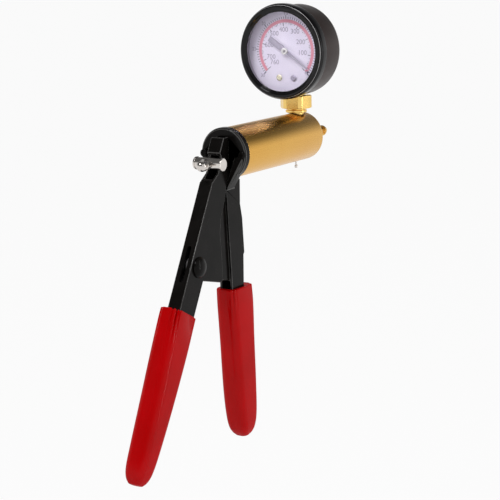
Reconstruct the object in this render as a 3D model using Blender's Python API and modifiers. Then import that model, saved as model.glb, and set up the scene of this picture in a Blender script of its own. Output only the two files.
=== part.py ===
"""Hand vacuum pump with a dial gauge, built as separate pieces at real size.

Metres, +Z up. +X runs from the handles to the nozzle, and +Y is the left of the person who holds it.
The origin is the middle of the fixed handle's grip. Most places are given from the pump's datum,
the middle of the cylinder's rear end, and the lever's from its pivot, along and across the lever.
"""

import math

import bmesh
import bpy
from mathutils import Matrix, Vector

# Fits
FIT_GAP = 0.0003
RUNNING_GAP = 0.0002
OVERRUN = 0.002
OVERLAP = 0.0004
WELD = 0.000001
SCREW_WELD = 0.00001
SCREW_CROWN_SHARE = 0.7
ROUND_STEPS = 48
SMALL_STEPS = 20
TINY_STEPS = 12
DRILL_TURN_SHARE = 0.13
FORWARD = Vector((1.0, 0.0, 0.0))
LEFT = Vector((0.0, 1.0, 0.0))
UP = Vector((0.0, 0.0, 1.0))

# Datum: the middle of the cylinder's rear end
DATUM_X = -0.005
DATUM_Z = 0.113

# Cylinder
CYLINDER_LENGTH = 0.078
CYLINDER_RADIUS = 0.0133
CYLINDER_WALL = 0.0033
BORE_RADIUS = CYLINDER_RADIUS - CYLINDER_WALL
CYLINDER_EDGE = 0.0022
PORT_TO_FRONT = 0.007
PORT_X = CYLINDER_LENGTH - PORT_TO_FRONT
RELEASE_TO_PORT = 0.0012
RELEASE_X = PORT_X - RELEASE_TO_PORT

# Head of the fixed handle
HEAD_PROUD = 0.00045
HEAD_RADIUS = CYLINDER_RADIUS + HEAD_PROUD
HEAD_THICKNESS = 0.0045
HEAD_EDGE = 0.0007
SPIGOT_LENGTH = 0.003
ARCH_RADIUS = 0.0072
ARCH_RISE = 0.0018
ARCH_FLOOR = 0.0015
ROD_HOLE_RADIUS = 0.0055
NECK_DROP = 0.018
HEAD_SCREW_RADIUS = 0.0009
HEAD_SCREW_HEAD_RADIUS = 0.0021
HEAD_SCREW_HEAD_HEIGHT = 0.0011
HEAD_SCREW_DEPTH = 0.0065

# Fixed handle, a channel open to the rear; shares are of its length and of its depth
CHANNEL_WIDTH = 0.0078
SHEET = 0.0013
HANDLE_WEB = 0.0015
HANDLE_DEPTH = 0.0125
HANDLE_TOP_DROP = 0.0139
HANDLE_LENGTH = 0.134
HANDLE_REAR_SHARES = (
    (0.031, -0.648),
    (0.389, -0.424),
    (0.501, -0.384),
    (0.851, -0.150),
    (0.962, 0.020),
    (1.000, 0.280),
)
HANDLE_FRONT_SHARES = (
    (0.000, 0.392),
    (0.098, 0.360),
    (0.157, 0.504),
    (0.296, 0.608),
    (0.303, 0.536),
    (0.419, 0.504),
    (0.568, 0.640),
    (0.851, 0.840),
    (0.955, 0.840),
    (0.992, 0.640),
)
EAR_OUTER = 0.0023
EAR_SLOT = 0.0024
EAR_ROUND = 0.0053
EAR_TOP_SHARE = 0.052
EAR_FOOT_SHARE = 0.395
JOGGLE = 0.0016

# Lever, a channel open to the front; its places are along and across it, from its pivot
PIVOT_X = -0.0357
PIVOT_DROP = 0.0535
LEVER_LEAN = math.radians(28.7)
WEB_TO_PIVOT = 0.0072
LEVER_TOP_LENGTH = 0.0675
LEVER_TAIL_LENGTH = 0.104
LEVER_DEPTH = 0.0139
FLARE_REACH = 0.0246
FLARE_EDGE_SHARES = (
    (0.580, 0.040),
    (0.440, 0.070),
    (0.320, 0.190),
    (0.190, 0.430),
    (0.060, 0.650),
)
FLARE_TIP_SHARES = ((0.010, 0.972), (-0.012, 0.943))
FLARE_FOOT_SHARE = -0.078
TAIL_MOUTH_SHARE = 0.10
TAIL_FRONT_SHARES = ((0.22, 1.00), (0.88, 0.60), (0.97, 0.33))
TAIL_TIP_SHARE = -0.18
TAIL_REAR_SHARES = ((0.985, 0.61), (0.91, 0.79), (0.28, 1.00))
HEAD_CLEARANCE = 0.0007
SLOT_WIDTH = 0.0024
SLOT_TOP_LENGTH = 0.0088
SLOT_FOOT_LENGTH = 0.0106
NOTCH_DEPTH = 0.0032
NOTCH_MOUTH_TOP = 0.0591
NOTCH_FLOOR_TOP = 0.0569
NOTCH_FLOOR_FOOT = 0.0492
NOTCH_MOUTH_FOOT = 0.0428
RIVET_RADIUS = 0.0020
RIVET_DOME_RADIUS = 0.0054
RIVET_DOME_HEIGHT = 0.0024
RIVET_TAIL_RADIUS = 0.0044
RIVET_TAIL_HEIGHT = 0.0012
RIVET_TAIL_CROWN_SHARE = 0.8
BUSH_RADIUS = 0.0030

# Grips, sleeves over the two handles; shares are of each grip's length and of the depth of the handle in it
GRIP_SIDE = 0.0026
GRIP_WIDTH = CHANNEL_WIDTH + 2.0 * GRIP_SIDE
GRIP_CORNER_SHARE = 0.46
FIXED_GRIP_TOP_DROP = 0.0712
FIXED_GRIP_FOOT = 0.0071
FIXED_GRIP_LENGTH = HANDLE_TOP_DROP + HANDLE_LENGTH + FIXED_GRIP_FOOT - FIXED_GRIP_TOP_DROP
FIXED_GRIP_SHARES = (
    (0.00, -0.528, 1.057, 0.95),
    (0.11, -0.520, 1.136, 0.98),
    (0.34, -0.432, 1.153, 1.00),
    (0.68, -0.296, 1.201, 1.02),
    (0.86, -0.128, 1.201, 0.98),
    (0.94, 0.031, 1.088, 0.88),
    (0.98, 0.224, 0.912, 0.68),
    (1.00, 0.401, 0.720, 0.42),
)
LEVER_GRIP_TOP = -0.0250
LEVER_GRIP_FOOT = 0.0095
LEVER_GRIP_LENGTH = LEVER_GRIP_TOP + LEVER_TAIL_LENGTH + LEVER_GRIP_FOOT
LEVER_GRIP_SHARES = (
    (0.00, -0.402, 1.091, 0.93),
    (0.06, -0.399, 1.093, 0.95),
    (0.23, -0.329, 1.096, 0.99),
    (0.51, -0.198, 1.035, 1.02),
    (0.79, -0.103, 0.939, 0.98),
    (0.915, -0.059, 0.854, 0.90),
    (0.97, 0.036, 0.744, 0.72),
    (1.00, 0.189, 0.591, 0.44),
)

# Cross pin, rod and piston; the rod slopes from the piston down to the pin
PIN_X = -0.0175
PIN_DROP = 0.0033
PIN_RADIUS = 0.0031
PIN_LENGTH = 0.0170
PIN_HEAD_RADIUS = 0.0034
PIN_HEAD_LENGTH = 0.0011
PIN_EDGE = 0.0004
ROD_RADIUS = 0.0022
ROD_END_RADIUS = 0.0015
ROD_END_LENGTH = 0.0066
NUT_RADIUS = 0.0033
NUT_HEIGHT = 0.0022
NUT_DOME_RADIUS = 0.0029
NUT_COLLAR = 0.0018
PLUG_LENGTH = 0.019
PLUG_REAR_X = CYLINDER_LENGTH - PLUG_LENGTH
PISTON_TO_PLUG = 0.018
PISTON_REAR_X = PLUG_REAR_X - PISTON_TO_PLUG
PISTON_LENGTH = 0.011
PISTON_RADIUS = BORE_RADIUS - FIT_GAP
ROD_SEAT_DEPTH = 0.005
RING_FROM_REAR = 0.0015
RING_X = PISTON_REAR_X + RING_FROM_REAR
RING_WIDTH = 0.003
RING_DEPTH = 0.0012
CUP_THICKNESS = 0.0012
CUP_LENGTH = 0.0034
CUP_LIP = 0.0011
WASHER_RADIUS = 0.006
WASHER_THICKNESS = 0.0008
PISTON_SCREW_RADIUS = 0.0014
PISTON_SCREW_HEAD_RADIUS = 0.0026
PISTON_SCREW_HEAD_HEIGHT = 0.0012
PISTON_SCREW_DEPTH = 0.0042
SPRING_RADIUS = 0.0076
SPRING_WIRE = 0.0006
SPRING_CURLS = 9
SPRING_POINTS = 10

# Front plug, flap valve, nozzle and release valve
PLUG_INSET = 0.0006
PLUG_SEAL_FROM_REAR = 0.0024
PLUG_SEAL_X = PLUG_REAR_X + PLUG_SEAL_FROM_REAR
PLUG_SEAL_SECTION = 0.0009
PASSAGE_RADIUS = 0.0015
PASSAGE_FROM_REAR = 0.0038
POCKET_LENGTH = 0.0012
PASSAGE_REAR_X = PLUG_REAR_X + PASSAGE_FROM_REAR
FLAP_RADIUS = 0.0042
FLAP_THICKNESS = 0.0007
STUD_RADIUS = 0.0007
STUD_HEAD_RADIUS = 0.0018
STUD_HEAD_HEIGHT = 0.0006
STUD_DEPTH = 0.002
FLAP_PORT_RADIUS = 0.0006
FLAP_PORT_CIRCLE = 0.0019
FLAP_PORTS = 3
NOZZLE_THREAD_RADIUS = 0.0023
NOZZLE_THREAD_LENGTH = 0.0036
NOZZLE_HEX_RADIUS = 0.0048
NOZZLE_HEX_LENGTH = 0.0035
NOZZLE_STEM_RADIUS = 0.0021
NOZZLE_BARB_RADIUS = 0.0030
NOZZLE_BARB_LENGTH = 0.0045
NOZZLE_BARBS = 3
NOZZLE_REACH = 0.024
NOZZLE_BORE = 0.0012
CHAMBER_RADIUS = 0.0030
CHAMBER_FLOOR_DROP = 0.002
RELEASE_STEM_RADIUS = 0.0006
RELEASE_DISC_RADIUS = 0.0018
RELEASE_DISC_HEIGHT = 0.0008
RELEASE_HEAD_RADIUS = 0.0010
RELEASE_HEAD_HEIGHT = 0.0016
RELEASE_PROUD = 0.0041
RELEASE_REACH = CYLINDER_RADIUS + RELEASE_PROUD
RELEASE_SEAL_HEIGHT = 0.0006
RELEASE_SPRING_RADIUS = 0.0013
RELEASE_SPRING_WIRE = 0.00022
RELEASE_SPRING_CURLS = 5

# Gauge socket, from the cylinder's axis up to the gauge
SOCKET_HEX_RADIUS = 0.0093
SOCKET_HEX_TURN = math.radians(14.0)
SOCKET_COLLAR_RISE = 0.0025
SOCKET_HEX_HEIGHT = 0.0066
SOCKET_HEX_FOOT = CYLINDER_RADIUS + SOCKET_COLLAR_RISE
SOCKET_HEX_TOP = SOCKET_HEX_FOOT + SOCKET_HEX_HEIGHT
SOCKET_NECK_RADIUS = 0.0045
SOCKET_COLLAR_RADIUS = 0.0052
SOCKET_THREAD_RADIUS = 0.0042
SOCKET_THREAD_DEPTH = 0.008
SOCKET_THREAD_FOOT = CYLINDER_RADIUS - SOCKET_THREAD_DEPTH
SOCKET_BORE = 0.0012
SEAL_WASHER_HEIGHT = 0.0008

# Gauge; its places along X are from the socket's, and its pieces are sized from the bezel
BEZEL_RADIUS = 0.0260
BEZEL_WALL = 0.0012
BEZEL_ROLL = 0.0045
CASE_RADIUS = BEZEL_RADIUS - BEZEL_WALL
BEZEL_LIP_RADIUS = BEZEL_RADIUS - BEZEL_ROLL
CASE_TO_HEX = 0.0008
GAUGE_HEIGHT = SOCKET_HEX_TOP + CASE_TO_HEX + CASE_RADIUS
GAUGE_AHEAD = 0.0168
GAUGE_BEHIND = 0.0075
GAUGE_FRONT_X = PORT_X - GAUGE_AHEAD
GAUGE_REAR_X = PORT_X + GAUGE_BEHIND
CASE_WALL = 0.0009
CASE_EDGE = 0.0026
CASE_INNER = CASE_RADIUS - CASE_WALL
BEZEL_LIP = 0.0013
BEZEL_SKIRT = 0.0060
BEZEL_EDGE = 0.0011
LENS_THICKNESS = 0.0015
GASKET_THICKNESS = 0.0008
GASKET_WALL = 0.0005
DIAL_DEPTH = 0.0074
DIAL_X = GAUGE_FRONT_X + DIAL_DEPTH
DIAL_THICKNESS = 0.0006
DIAL_RADIUS = CASE_INNER - FIT_GAP
DIAL_SCREW_SPREAD = 0.0044
DIAL_SCREW_DROP = 0.0144
DIAL_SCREW_HEAD_RADIUS = 0.0017
DIAL_SCREW_HEAD_HEIGHT = 0.0007
DIAL_SCREW_RADIUS = 0.0006
STOP_PIN_RADIUS = 0.0007
STOP_PIN_CIRCLE = 0.0171
STOP_PIN_HEIGHT = 0.0018
STOP_PIN_LAG = math.radians(6.5)
PLATE_THICKNESS = 0.0008
PLATE_WIDTH = 0.0140
PLATE_TO_DIAL = 0.0020
PLATE_SPACING = 0.0038
FRONT_PLATE_X = DIAL_X + PLATE_TO_DIAL
BACK_PLATE_X = FRONT_PLATE_X + PLATE_SPACING
PLATE_TOP_HEIGHT = 0.0055
BLOCK_TO_CASE = 0.0014
BLOCK_FOOT_DROP = CASE_INNER - BLOCK_TO_CASE
PLATE_FOOT_DROP = BLOCK_FOOT_DROP - FIT_GAP - RUNNING_GAP
POST_RADIUS = 0.0011
POST_SPREAD = 0.0052
POST_RISE = 0.0032
MOVEMENT_SCREW_RADIUS = 0.0007
MOVEMENT_SCREW_HEAD_RADIUS = 0.0014
MOVEMENT_SCREW_HEAD_HEIGHT = 0.0006
MOVEMENT_SCREW_DEPTH = 0.0030
MOVEMENT_SCREW_SPREAD = 0.0032
MOVEMENT_SCREW_TO_FOOT = 0.0016
MOVEMENT_SCREW_DROP = PLATE_FOOT_DROP - MOVEMENT_SCREW_TO_FOOT
SPINDLE_RADIUS = 0.0005
GEAR_MODULE = 0.0005
PINION_TEETH = 8
SECTOR_RATIO = 6
SECTOR_TO_PLATE = 0.0014
SECTOR_X = FRONT_PLATE_X + SECTOR_TO_PLATE
SECTOR_THICKNESS = 0.0008
SECTOR_TEETH = 13
SECTOR_HUB = 0.0018
SECTOR_TAIL = 0.0050
SECTOR_AXLE_RADIUS = 0.0006
TOOTH_ADDENDUM_SHARE = 0.65
TOOTH_DEDENDUM_SHARE = 1.15
TOOTH_ROOT_SHARE = 0.30
TOOTH_TIP_SHARE = 0.12
POINTER_TO_DIAL = 0.0013
POINTER_X = DIAL_X - POINTER_TO_DIAL
POINTER_THICKNESS = 0.0004
POINTER_LENGTH = 0.0168
POINTER_TAIL = 0.0120
POINTER_WIDTH = 0.0018
POINTER_TAIL_WIDTH = 0.0032
POINTER_STEP_SHARE = 0.15
POINTER_HUB_RADIUS = 0.0019
POINTER_HUB_HEIGHT = 0.0010
POINTER_REST = math.radians(-34.6)
POINTER_SWEEP = math.radians(255.0)
TUBE_CIRCLE = 0.0165
TUBE_RADIUS = 0.0014
TUBE_FROM_REAR = 0.0069
TUBE_X = GAUGE_REAR_X - TUBE_FROM_REAR
TUBE_START = math.radians(-80.0)
TUBE_TURN = math.radians(275.0)
TUBE_POINTS = 24
BLOCK_X = BACK_PLATE_X + PLATE_THICKNESS + FIT_GAP
BLOCK_LENGTH = 0.0066
BLOCK_WIDTH = 0.0100
BLOCK_HEIGHT = 0.0090
BLOCK_TOP_DROP = BLOCK_FOOT_DROP - BLOCK_HEIGHT
LINK_TO_PLATE = 0.0014
LINK_X = BACK_PLATE_X - LINK_TO_PLATE
LINK_THICKNESS = 0.0005
LINK_WIDTH = 0.0018
LUG_WIDTH = 0.0024


def at(x, y=0.0, z=0.0):
    """The world place of a point given from the datum."""
    return Vector((DATUM_X + x, y, DATUM_Z + z))


def on_lever(along, across, y=0.0):
    """The world place of a point given along the lever (up) and across it (forward), from its pivot."""
    x = PIVOT_X + along * math.sin(LEVER_LEAN) + across * math.cos(LEVER_LEAN)
    z = -PIVOT_DROP + along * math.cos(LEVER_LEAN) - across * math.sin(LEVER_LEAN)
    return at(x, y, z)


def new_collection(name):
    collection = bpy.data.collections.new(name)
    bpy.context.scene.collection.children.link(collection)
    return collection


def make_material(name, colour, roughness, metallic=0.0, alpha=1.0):
    material = bpy.data.materials.new(name)
    material.use_nodes = True
    shader = material.node_tree.nodes["Principled BSDF"]
    shader.inputs["Base Color"].default_value = (*colour, 1.0)
    shader.inputs["Roughness"].default_value = roughness
    shader.inputs["Metallic"].default_value = metallic
    shader.inputs["Alpha"].default_value = alpha
    material.diffuse_color = (*colour, alpha)
    return material


def add_object(name, mesh, material=None):
    """A new object: a piece when it has a material, and otherwise a cutter or helper."""
    obj = bpy.data.objects.new(name, mesh)
    if material is None:
        CUTTERS.objects.link(obj)
        obj.hide_render = True
        obj.display_type = "WIRE"
    else:
        PARTS.objects.link(obj)
        mesh.materials.append(material)
    return obj


def aim(obj, origin, axis):
    """Stands the object's own Z along an axis, at an origin."""
    turn = UP.rotation_difference(axis).to_matrix().to_4x4()
    obj.matrix_world = Matrix.Translation(origin) @ turn


def shade(obj, angle=math.radians(35.0)):
    obj.data.shade_smooth()
    obj.data.set_sharp_from_angle(angle=angle)


def turned(name, profile, origin, axis, material=None, steps=ROUND_STEPS):
    """A turned solid. The profile is (radius, distance along the axis), open at the axis or a closed ring."""
    closed = all(radius > 0.0 for radius, _ in profile)
    points = list(profile)
    loop = points + points[:1]
    area = sum(a[0] * b[1] - b[0] * a[1] for a, b in zip(loop, loop[1:]))
    if area > 0.0:
        points.reverse()
    mesh = bpy.data.meshes.new(name)
    edges = [(i, i + 1) for i in range(len(points) - 1)]
    if closed:
        edges.append((len(points) - 1, 0))
    mesh.from_pydata([(radius, 0.0, along) for radius, along in points], edges, [])
    obj = add_object(name, mesh, material)
    aim(obj, origin, axis)
    screw = obj.modifiers.new("Turn", "SCREW")
    screw.axis = "Z"
    screw.angle = math.tau
    screw.steps = steps
    screw.render_steps = steps
    screw.use_merge_vertices = True
    screw.merge_threshold = SCREW_WELD
    screw.use_smooth_shade = True
    return obj


def rod_shape(name, radius, start, end, origin, axis, material=None, steps=SMALL_STEPS):
    """A plain round bar or drill between two distances along an axis."""
    profile = [(0.0, end), (radius, end), (radius, start), (0.0, start)]
    return turned(name, profile, origin, axis, material, steps)


def ring_shape(name, inner, outer, start, end, origin, axis, material=None, steps=ROUND_STEPS):
    """A flat ring or tube between two distances along an axis."""
    profile = [(outer, end), (outer, start), (inner, start), (inner, end)]
    return turned(name, profile, origin, axis, material, steps)


def plate(name, outline, width, material=None, centre_y=0.0):
    """A flat outline of world places in the XZ plane, extruded to a width along Y."""
    curve = bpy.data.curves.new(name, "CURVE")
    curve.dimensions = "2D"
    curve.fill_mode = "BOTH"
    curve.extrude = width / 2.0
    spline = curve.splines.new("POLY")
    spline.points.add(len(outline) - 1)
    for point, place in zip(spline.points, outline):
        point.co = (place.x, place.z, 0.0, 1.0)
    spline.use_cyclic_u = True
    guide = bpy.data.objects.new(name + "_outline", curve)
    bpy.context.scene.collection.objects.link(guide)
    guide.matrix_world = Matrix.Translation((0.0, centre_y, 0.0)) @ Matrix.Rotation(math.pi / 2.0, 4, "X")
    return curve_to_mesh(name, guide, material)


def curve_to_mesh(name, guide, material):
    """Turns a curve object into a closed mesh object with its caps welded on."""
    bpy.context.view_layer.update()
    evaluated = guide.evaluated_get(bpy.context.evaluated_depsgraph_get())
    mesh = bpy.data.meshes.new_from_object(evaluated)
    mesh.name = name
    mesh.materials.clear()
    work = bmesh.new()
    work.from_mesh(mesh)
    bmesh.ops.remove_doubles(work, verts=work.verts, dist=WELD)
    bmesh.ops.recalc_face_normals(work, faces=work.faces)
    work.to_mesh(mesh)
    work.free()
    obj = add_object(name, mesh, material)
    obj.matrix_world = guide.matrix_world.copy()
    curve = guide.data
    bpy.data.objects.remove(guide)
    bpy.data.curves.remove(curve)
    return obj


def tube_along(name, places, radius, material, resolution=1):
    """An unbroken round tube through world places."""
    curve = bpy.data.curves.new(name, "CURVE")
    curve.dimensions = "3D"
    curve.bevel_depth = radius
    curve.bevel_resolution = resolution
    curve.use_fill_caps = True
    spline = curve.splines.new("POLY")
    spline.points.add(len(places) - 1)
    for point, place in zip(spline.points, places):
        point.co = (*place, 1.0)
    guide = bpy.data.objects.new(name + "_route", curve)
    bpy.context.scene.collection.objects.link(guide)
    obj = curve_to_mesh(name, guide, material)
    shade(obj, math.radians(60.0))
    return obj


def hull(name, places, material=None):
    """The convex body around a set of world places."""
    mesh = bpy.data.meshes.new(name)
    work = bmesh.new()
    for place in places:
        work.verts.new(place)
    result = bmesh.ops.convex_hull(work, input=work.verts)
    loose = [item for item in result["geom_interior"] if isinstance(item, bmesh.types.BMVert)]
    bmesh.ops.delete(work, geom=loose, context="VERTS")
    bmesh.ops.recalc_face_normals(work, faces=work.faces)
    work.to_mesh(mesh)
    work.free()
    return add_object(name, mesh, material)


def box(name, low, high, material=None):
    """A box between two world corners."""
    mesh = bpy.data.meshes.new(name)
    work = bmesh.new()
    bmesh.ops.create_cube(work, size=1.0)
    bmesh.ops.scale(work, vec=high - low, verts=work.verts)
    bmesh.ops.translate(work, vec=(low + high) / 2.0, verts=work.verts)
    work.to_mesh(mesh)
    work.free()
    return add_object(name, mesh, material)


def prism(name, radius, start, end, origin, axis, material=None, sides=6):
    """A hexagonal bar between two distances along an axis; the radius is to its corners."""
    mesh = bpy.data.meshes.new(name)
    work = bmesh.new()
    bmesh.ops.create_cone(
        work, cap_ends=True, segments=sides, radius1=radius, radius2=radius, depth=end - start
    )
    bmesh.ops.translate(work, vec=(0.0, 0.0, (start + end) / 2.0), verts=work.verts)
    work.to_mesh(mesh)
    work.free()
    obj = add_object(name, mesh, material)
    aim(obj, origin, axis)
    return obj


def boolean(target, other, operation):
    modifier = target.modifiers.new(operation.title() + " " + other.name, "BOOLEAN")
    modifier.operation = operation
    modifier.solver = "EXACT"
    modifier.object = other


def cut(target, *cutters):
    for cutter in cutters:
        boolean(target, cutter, "DIFFERENCE")


def drill(target, name, radius, start, end, origin, axis, steps=TINY_STEPS):
    """Cuts a round hole between two distances along an axis, turned so that no corner meets a seam."""
    hole = rod_shape(name, radius, start, end, origin, axis, None, steps)
    hole.rotation_euler.rotate_axis("Z", DRILL_TURN_SHARE * math.tau / steps)
    cut(target, hole)


def join(target, *others):
    for other in others:
        boolean(target, other, "UNION")


def arc(centre, radius, start, end, steps):
    """World places on an arc in the XZ plane, from one angle to another."""
    angles = [start + (end - start) * i / steps for i in range(steps + 1)]
    return [centre + Vector((radius * math.cos(a), 0.0, radius * math.sin(a))) for a in angles]


def handle_place(length_share, depth_share, grow=0.0):
    """A place on the fixed handle's outline, from its shares; grow moves it along X."""
    return at(depth_share * HANDLE_DEPTH + grow, 0.0, -HANDLE_TOP_DROP - length_share * HANDLE_LENGTH)


def handle_edge_x(shares, length_share):
    """The X, from the datum, of one edge of the fixed handle at a share of its length."""
    for (s0, d0), (s1, d1) in zip(shares, shares[1:]):
        if s0 <= length_share <= s1:
            return HANDLE_DEPTH * (d0 + (d1 - d0) * (length_share - s0) / (s1 - s0))
    return HANDLE_DEPTH * shares[0][1]


def handle_outline(grow=0.0):
    """The fixed handle's side outline below the head, larger by grow on every side."""
    rear = [handle_place(s, d, -grow) for s, d in HANDLE_REAR_SHARES]
    front = [handle_place(s, d, grow) for s, d in reversed(HANDLE_FRONT_SHARES)]
    rear[-1].z -= grow
    front[0].z -= grow
    return rear + front


def build_handle_frame(material):
    """The head that closes the cylinder, its shoulder, and the fixed handle's channel with two ears."""
    axis_origin = at(0.0)
    spigot = BORE_RADIUS - FIT_GAP
    frame = turned(
        "handle_frame",
        [
            (0.0, SPIGOT_LENGTH),
            (spigot, SPIGOT_LENGTH),
            (spigot, -FIT_GAP),
            (HEAD_RADIUS, -FIT_GAP),
            (HEAD_RADIUS, HEAD_EDGE - HEAD_THICKNESS),
            (HEAD_RADIUS - HEAD_EDGE, -HEAD_THICKNESS),
            (0.0, -HEAD_THICKNESS),
        ],
        axis_origin,
        FORWARD,
        material,
    )
    half = CHANNEL_WIDTH / 2.0
    shoulder_radius = HEAD_RADIUS - 2.0 * HEAD_EDGE
    shoulder_front = -FIT_GAP - HEAD_EDGE
    shoulder_rear = HEAD_EDGE / 2.0 - HEAD_THICKNESS
    neck_rear = handle_edge_x(HANDLE_REAR_SHARES, HANDLE_REAR_SHARES[0][0])
    places = []
    for i in range(13):
        angle = math.pi + math.pi * i / 12
        y = shoulder_radius * math.cos(angle)
        z = shoulder_radius * math.sin(angle)
        places += [at(shoulder_front, y, z), at(shoulder_rear, y, z)]
    for side in (-half, half):
        places += [at(neck_rear, side, -NECK_DROP), at(shoulder_front, side, -NECK_DROP)]
    join(frame, hull("shoulder", places))

    outline = handle_outline()
    step_in = [at(shoulder_front, 0.0, -HANDLE_TOP_DROP), at(shoulder_front, 0.0, -ARCH_RADIUS)]
    rear_top = at(shoulder_rear - OVERLAP, 0.0, -ARCH_RADIUS - OVERLAP)
    join(frame, plate("channel", outline + step_in + [rear_top], CHANNEL_WIDTH))

    inner = [handle_place(s, d - OVERRUN / HANDLE_DEPTH) for s, d in HANDLE_REAR_SHARES]
    inner[-1].z -= OVERRUN
    inner_front = [handle_place(s, d, -HANDLE_WEB) for s, d in reversed(HANDLE_FRONT_SHARES)]
    inner_front[0].z -= OVERRUN
    inner_front[-1].z -= HANDLE_WEB
    throat_front = at(-ARCH_FLOOR - OVERLAP, 0.0, inner_front[-1].z - DATUM_Z)
    throat_top = at(-ARCH_FLOOR - OVERLAP, 0.0, -ARCH_RADIUS)
    throat_rear = at(neck_rear - OVERRUN, 0.0, -ARCH_RADIUS)
    inner_width = CHANNEL_WIDTH - 2.0 * SHEET
    space = inner + inner_front + [throat_front, throat_top, throat_rear]
    cut(frame, plate("channel_space", space, inner_width))

    throat = []
    for x in (-ARCH_FLOOR, neck_rear - OVERRUN):
        for i in range(24):
            angle = math.tau * i / 24
            throat.append(at(x, ARCH_RADIUS * math.cos(angle), ARCH_RISE + ARCH_RADIUS * math.sin(angle)))
        for side in (-inner_width / 2.0, inner_width / 2.0):
            throat.append(at(x, side, -NECK_DROP - OVERLAP))
    cut(frame, hull("throat", throat))
    drill(
        frame,
        "rod_hole",
        ROD_HOLE_RADIUS,
        -HEAD_THICKNESS,
        SPIGOT_LENGTH + OVERRUN,
        axis_origin,
        FORWARD,
        SMALL_STEPS,
    )

    ear_top = handle_edge_x(HANDLE_REAR_SHARES, EAR_TOP_SHARE) + JOGGLE
    ear_foot = handle_edge_x(HANDLE_REAR_SHARES, EAR_FOOT_SHARE) + JOGGLE
    top_z = -HANDLE_TOP_DROP - EAR_TOP_SHARE * HANDLE_LENGTH
    foot_z = -HANDLE_TOP_DROP - EAR_FOOT_SHARE * HANDLE_LENGTH
    pivot = at(PIVOT_X, 0.0, -PIVOT_DROP)
    round_end = arc(pivot, EAR_ROUND, math.radians(118.0), math.radians(262.0), 10)
    ears = [at(ear_top, 0.0, top_z)] + round_end + [at(ear_foot, 0.0, foot_z)]
    join(frame, plate("ears", ears, 2.0 * EAR_OUTER))
    strip_rear = OVERLAP - JOGGLE
    strip_front = OVERLAP / 2.0
    strip_top = top_z + OVERLAP / 2.0
    strip_foot = foot_z - OVERLAP / 2.0
    strip = [
        at(ear_top + strip_front, 0.0, strip_top),
        at(ear_top + strip_rear, 0.0, strip_top),
        at(ear_foot + strip_rear, 0.0, strip_foot),
        at(ear_foot + strip_front, 0.0, strip_foot),
    ]
    join(frame, plate("joggle", strip, inner_width + 2.0 * OVERLAP))
    slot_rear = PIVOT_X - EAR_ROUND - OVERRUN
    slot = [
        at(slot_rear, 0.0, top_z + OVERRUN),
        at(slot_rear, 0.0, foot_z - OVERRUN),
        at(ear_foot + OVERLAP, 0.0, foot_z - OVERRUN),
        at(ear_top + OVERLAP, 0.0, top_z + OVERRUN),
    ]
    cut(frame, plate("ear_slot", slot, EAR_SLOT))
    reach = CHANNEL_WIDTH / 2.0 + OVERRUN
    drill(frame, "ear_hole", RIVET_RADIUS + RUNNING_GAP, -reach, reach, pivot, LEFT, SMALL_STEPS)
    for name, y in head_screw_places():
        hole = HEAD_SCREW_RADIUS + FIT_GAP
        drill(frame, name + "_hole", hole, -HEAD_THICKNESS - OVERRUN, OVERRUN, at(0.0, y), FORWARD)
    return frame


def head_screw_places():
    middle = (CYLINDER_RADIUS + BORE_RADIUS) / 2.0
    return (("head_screw_left", middle), ("head_screw_right", -middle))


def build_head_screws(material):
    for name, y in head_screw_places():
        seat = -HEAD_THICKNESS - FIT_GAP
        crown = seat - HEAD_SCREW_HEAD_HEIGHT
        profile = [
            (0.0, HEAD_SCREW_DEPTH - HEAD_THICKNESS),
            (HEAD_SCREW_RADIUS, HEAD_SCREW_DEPTH - HEAD_THICKNESS),
            (HEAD_SCREW_RADIUS, seat),
            (HEAD_SCREW_HEAD_RADIUS, seat),
            (HEAD_SCREW_HEAD_RADIUS, (seat + crown) / 2.0),
            (HEAD_SCREW_HEAD_RADIUS * SCREW_CROWN_SHARE, crown),
            (0.0, crown),
        ]
        turned(name, profile, at(0.0, y), FORWARD, material, SMALL_STEPS)


def lever_outline():
    """The lever's side outline: top, front edge with its flare, and the tapered tail in the grip."""
    web = -WEB_TO_PIVOT
    front = web + LEVER_DEPTH
    head_face = -HEAD_THICKNESS - HEAD_CLEARANCE
    neck_rear = handle_edge_x(HANDLE_REAR_SHARES, HANDLE_REAR_SHARES[0][0]) - HEAD_CLEARANCE
    top = on_lever(LEVER_TOP_LENGTH, web)
    places = [
        top,
        Vector((DATUM_X + head_face, 0.0, top.z)),
        at(head_face, 0.0, -HEAD_EDGE),
        at(neck_rear, 0.0, -NECK_DROP),
    ]
    places += [on_lever(s * LEVER_TOP_LENGTH, front + d * FLARE_REACH) for s, d in FLARE_EDGE_SHARES]
    places += [on_lever(s * LEVER_TOP_LENGTH, d * FLARE_REACH) for s, d in FLARE_TIP_SHARES]
    places.append(on_lever(FLARE_FOOT_SHARE * LEVER_TOP_LENGTH, front))
    return places + lever_tail()


def lever_tail(grow=0.0):
    """The part of the lever's outline that goes into the grip, larger by grow."""
    web = -WEB_TO_PIVOT
    front = web + LEVER_DEPTH
    places = [on_lever(-s * LEVER_TAIL_LENGTH, d * front + grow) for s, d in TAIL_FRONT_SHARES]
    places.append(on_lever(-LEVER_TAIL_LENGTH - grow, TAIL_TIP_SHARE * front))
    (foot, foot_depth), *others = TAIL_REAR_SHARES
    places.append(on_lever(-foot * LEVER_TAIL_LENGTH - grow, foot_depth * web - grow))
    return places + [on_lever(-s * LEVER_TAIL_LENGTH, d * web - grow) for s, d in others]


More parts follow.
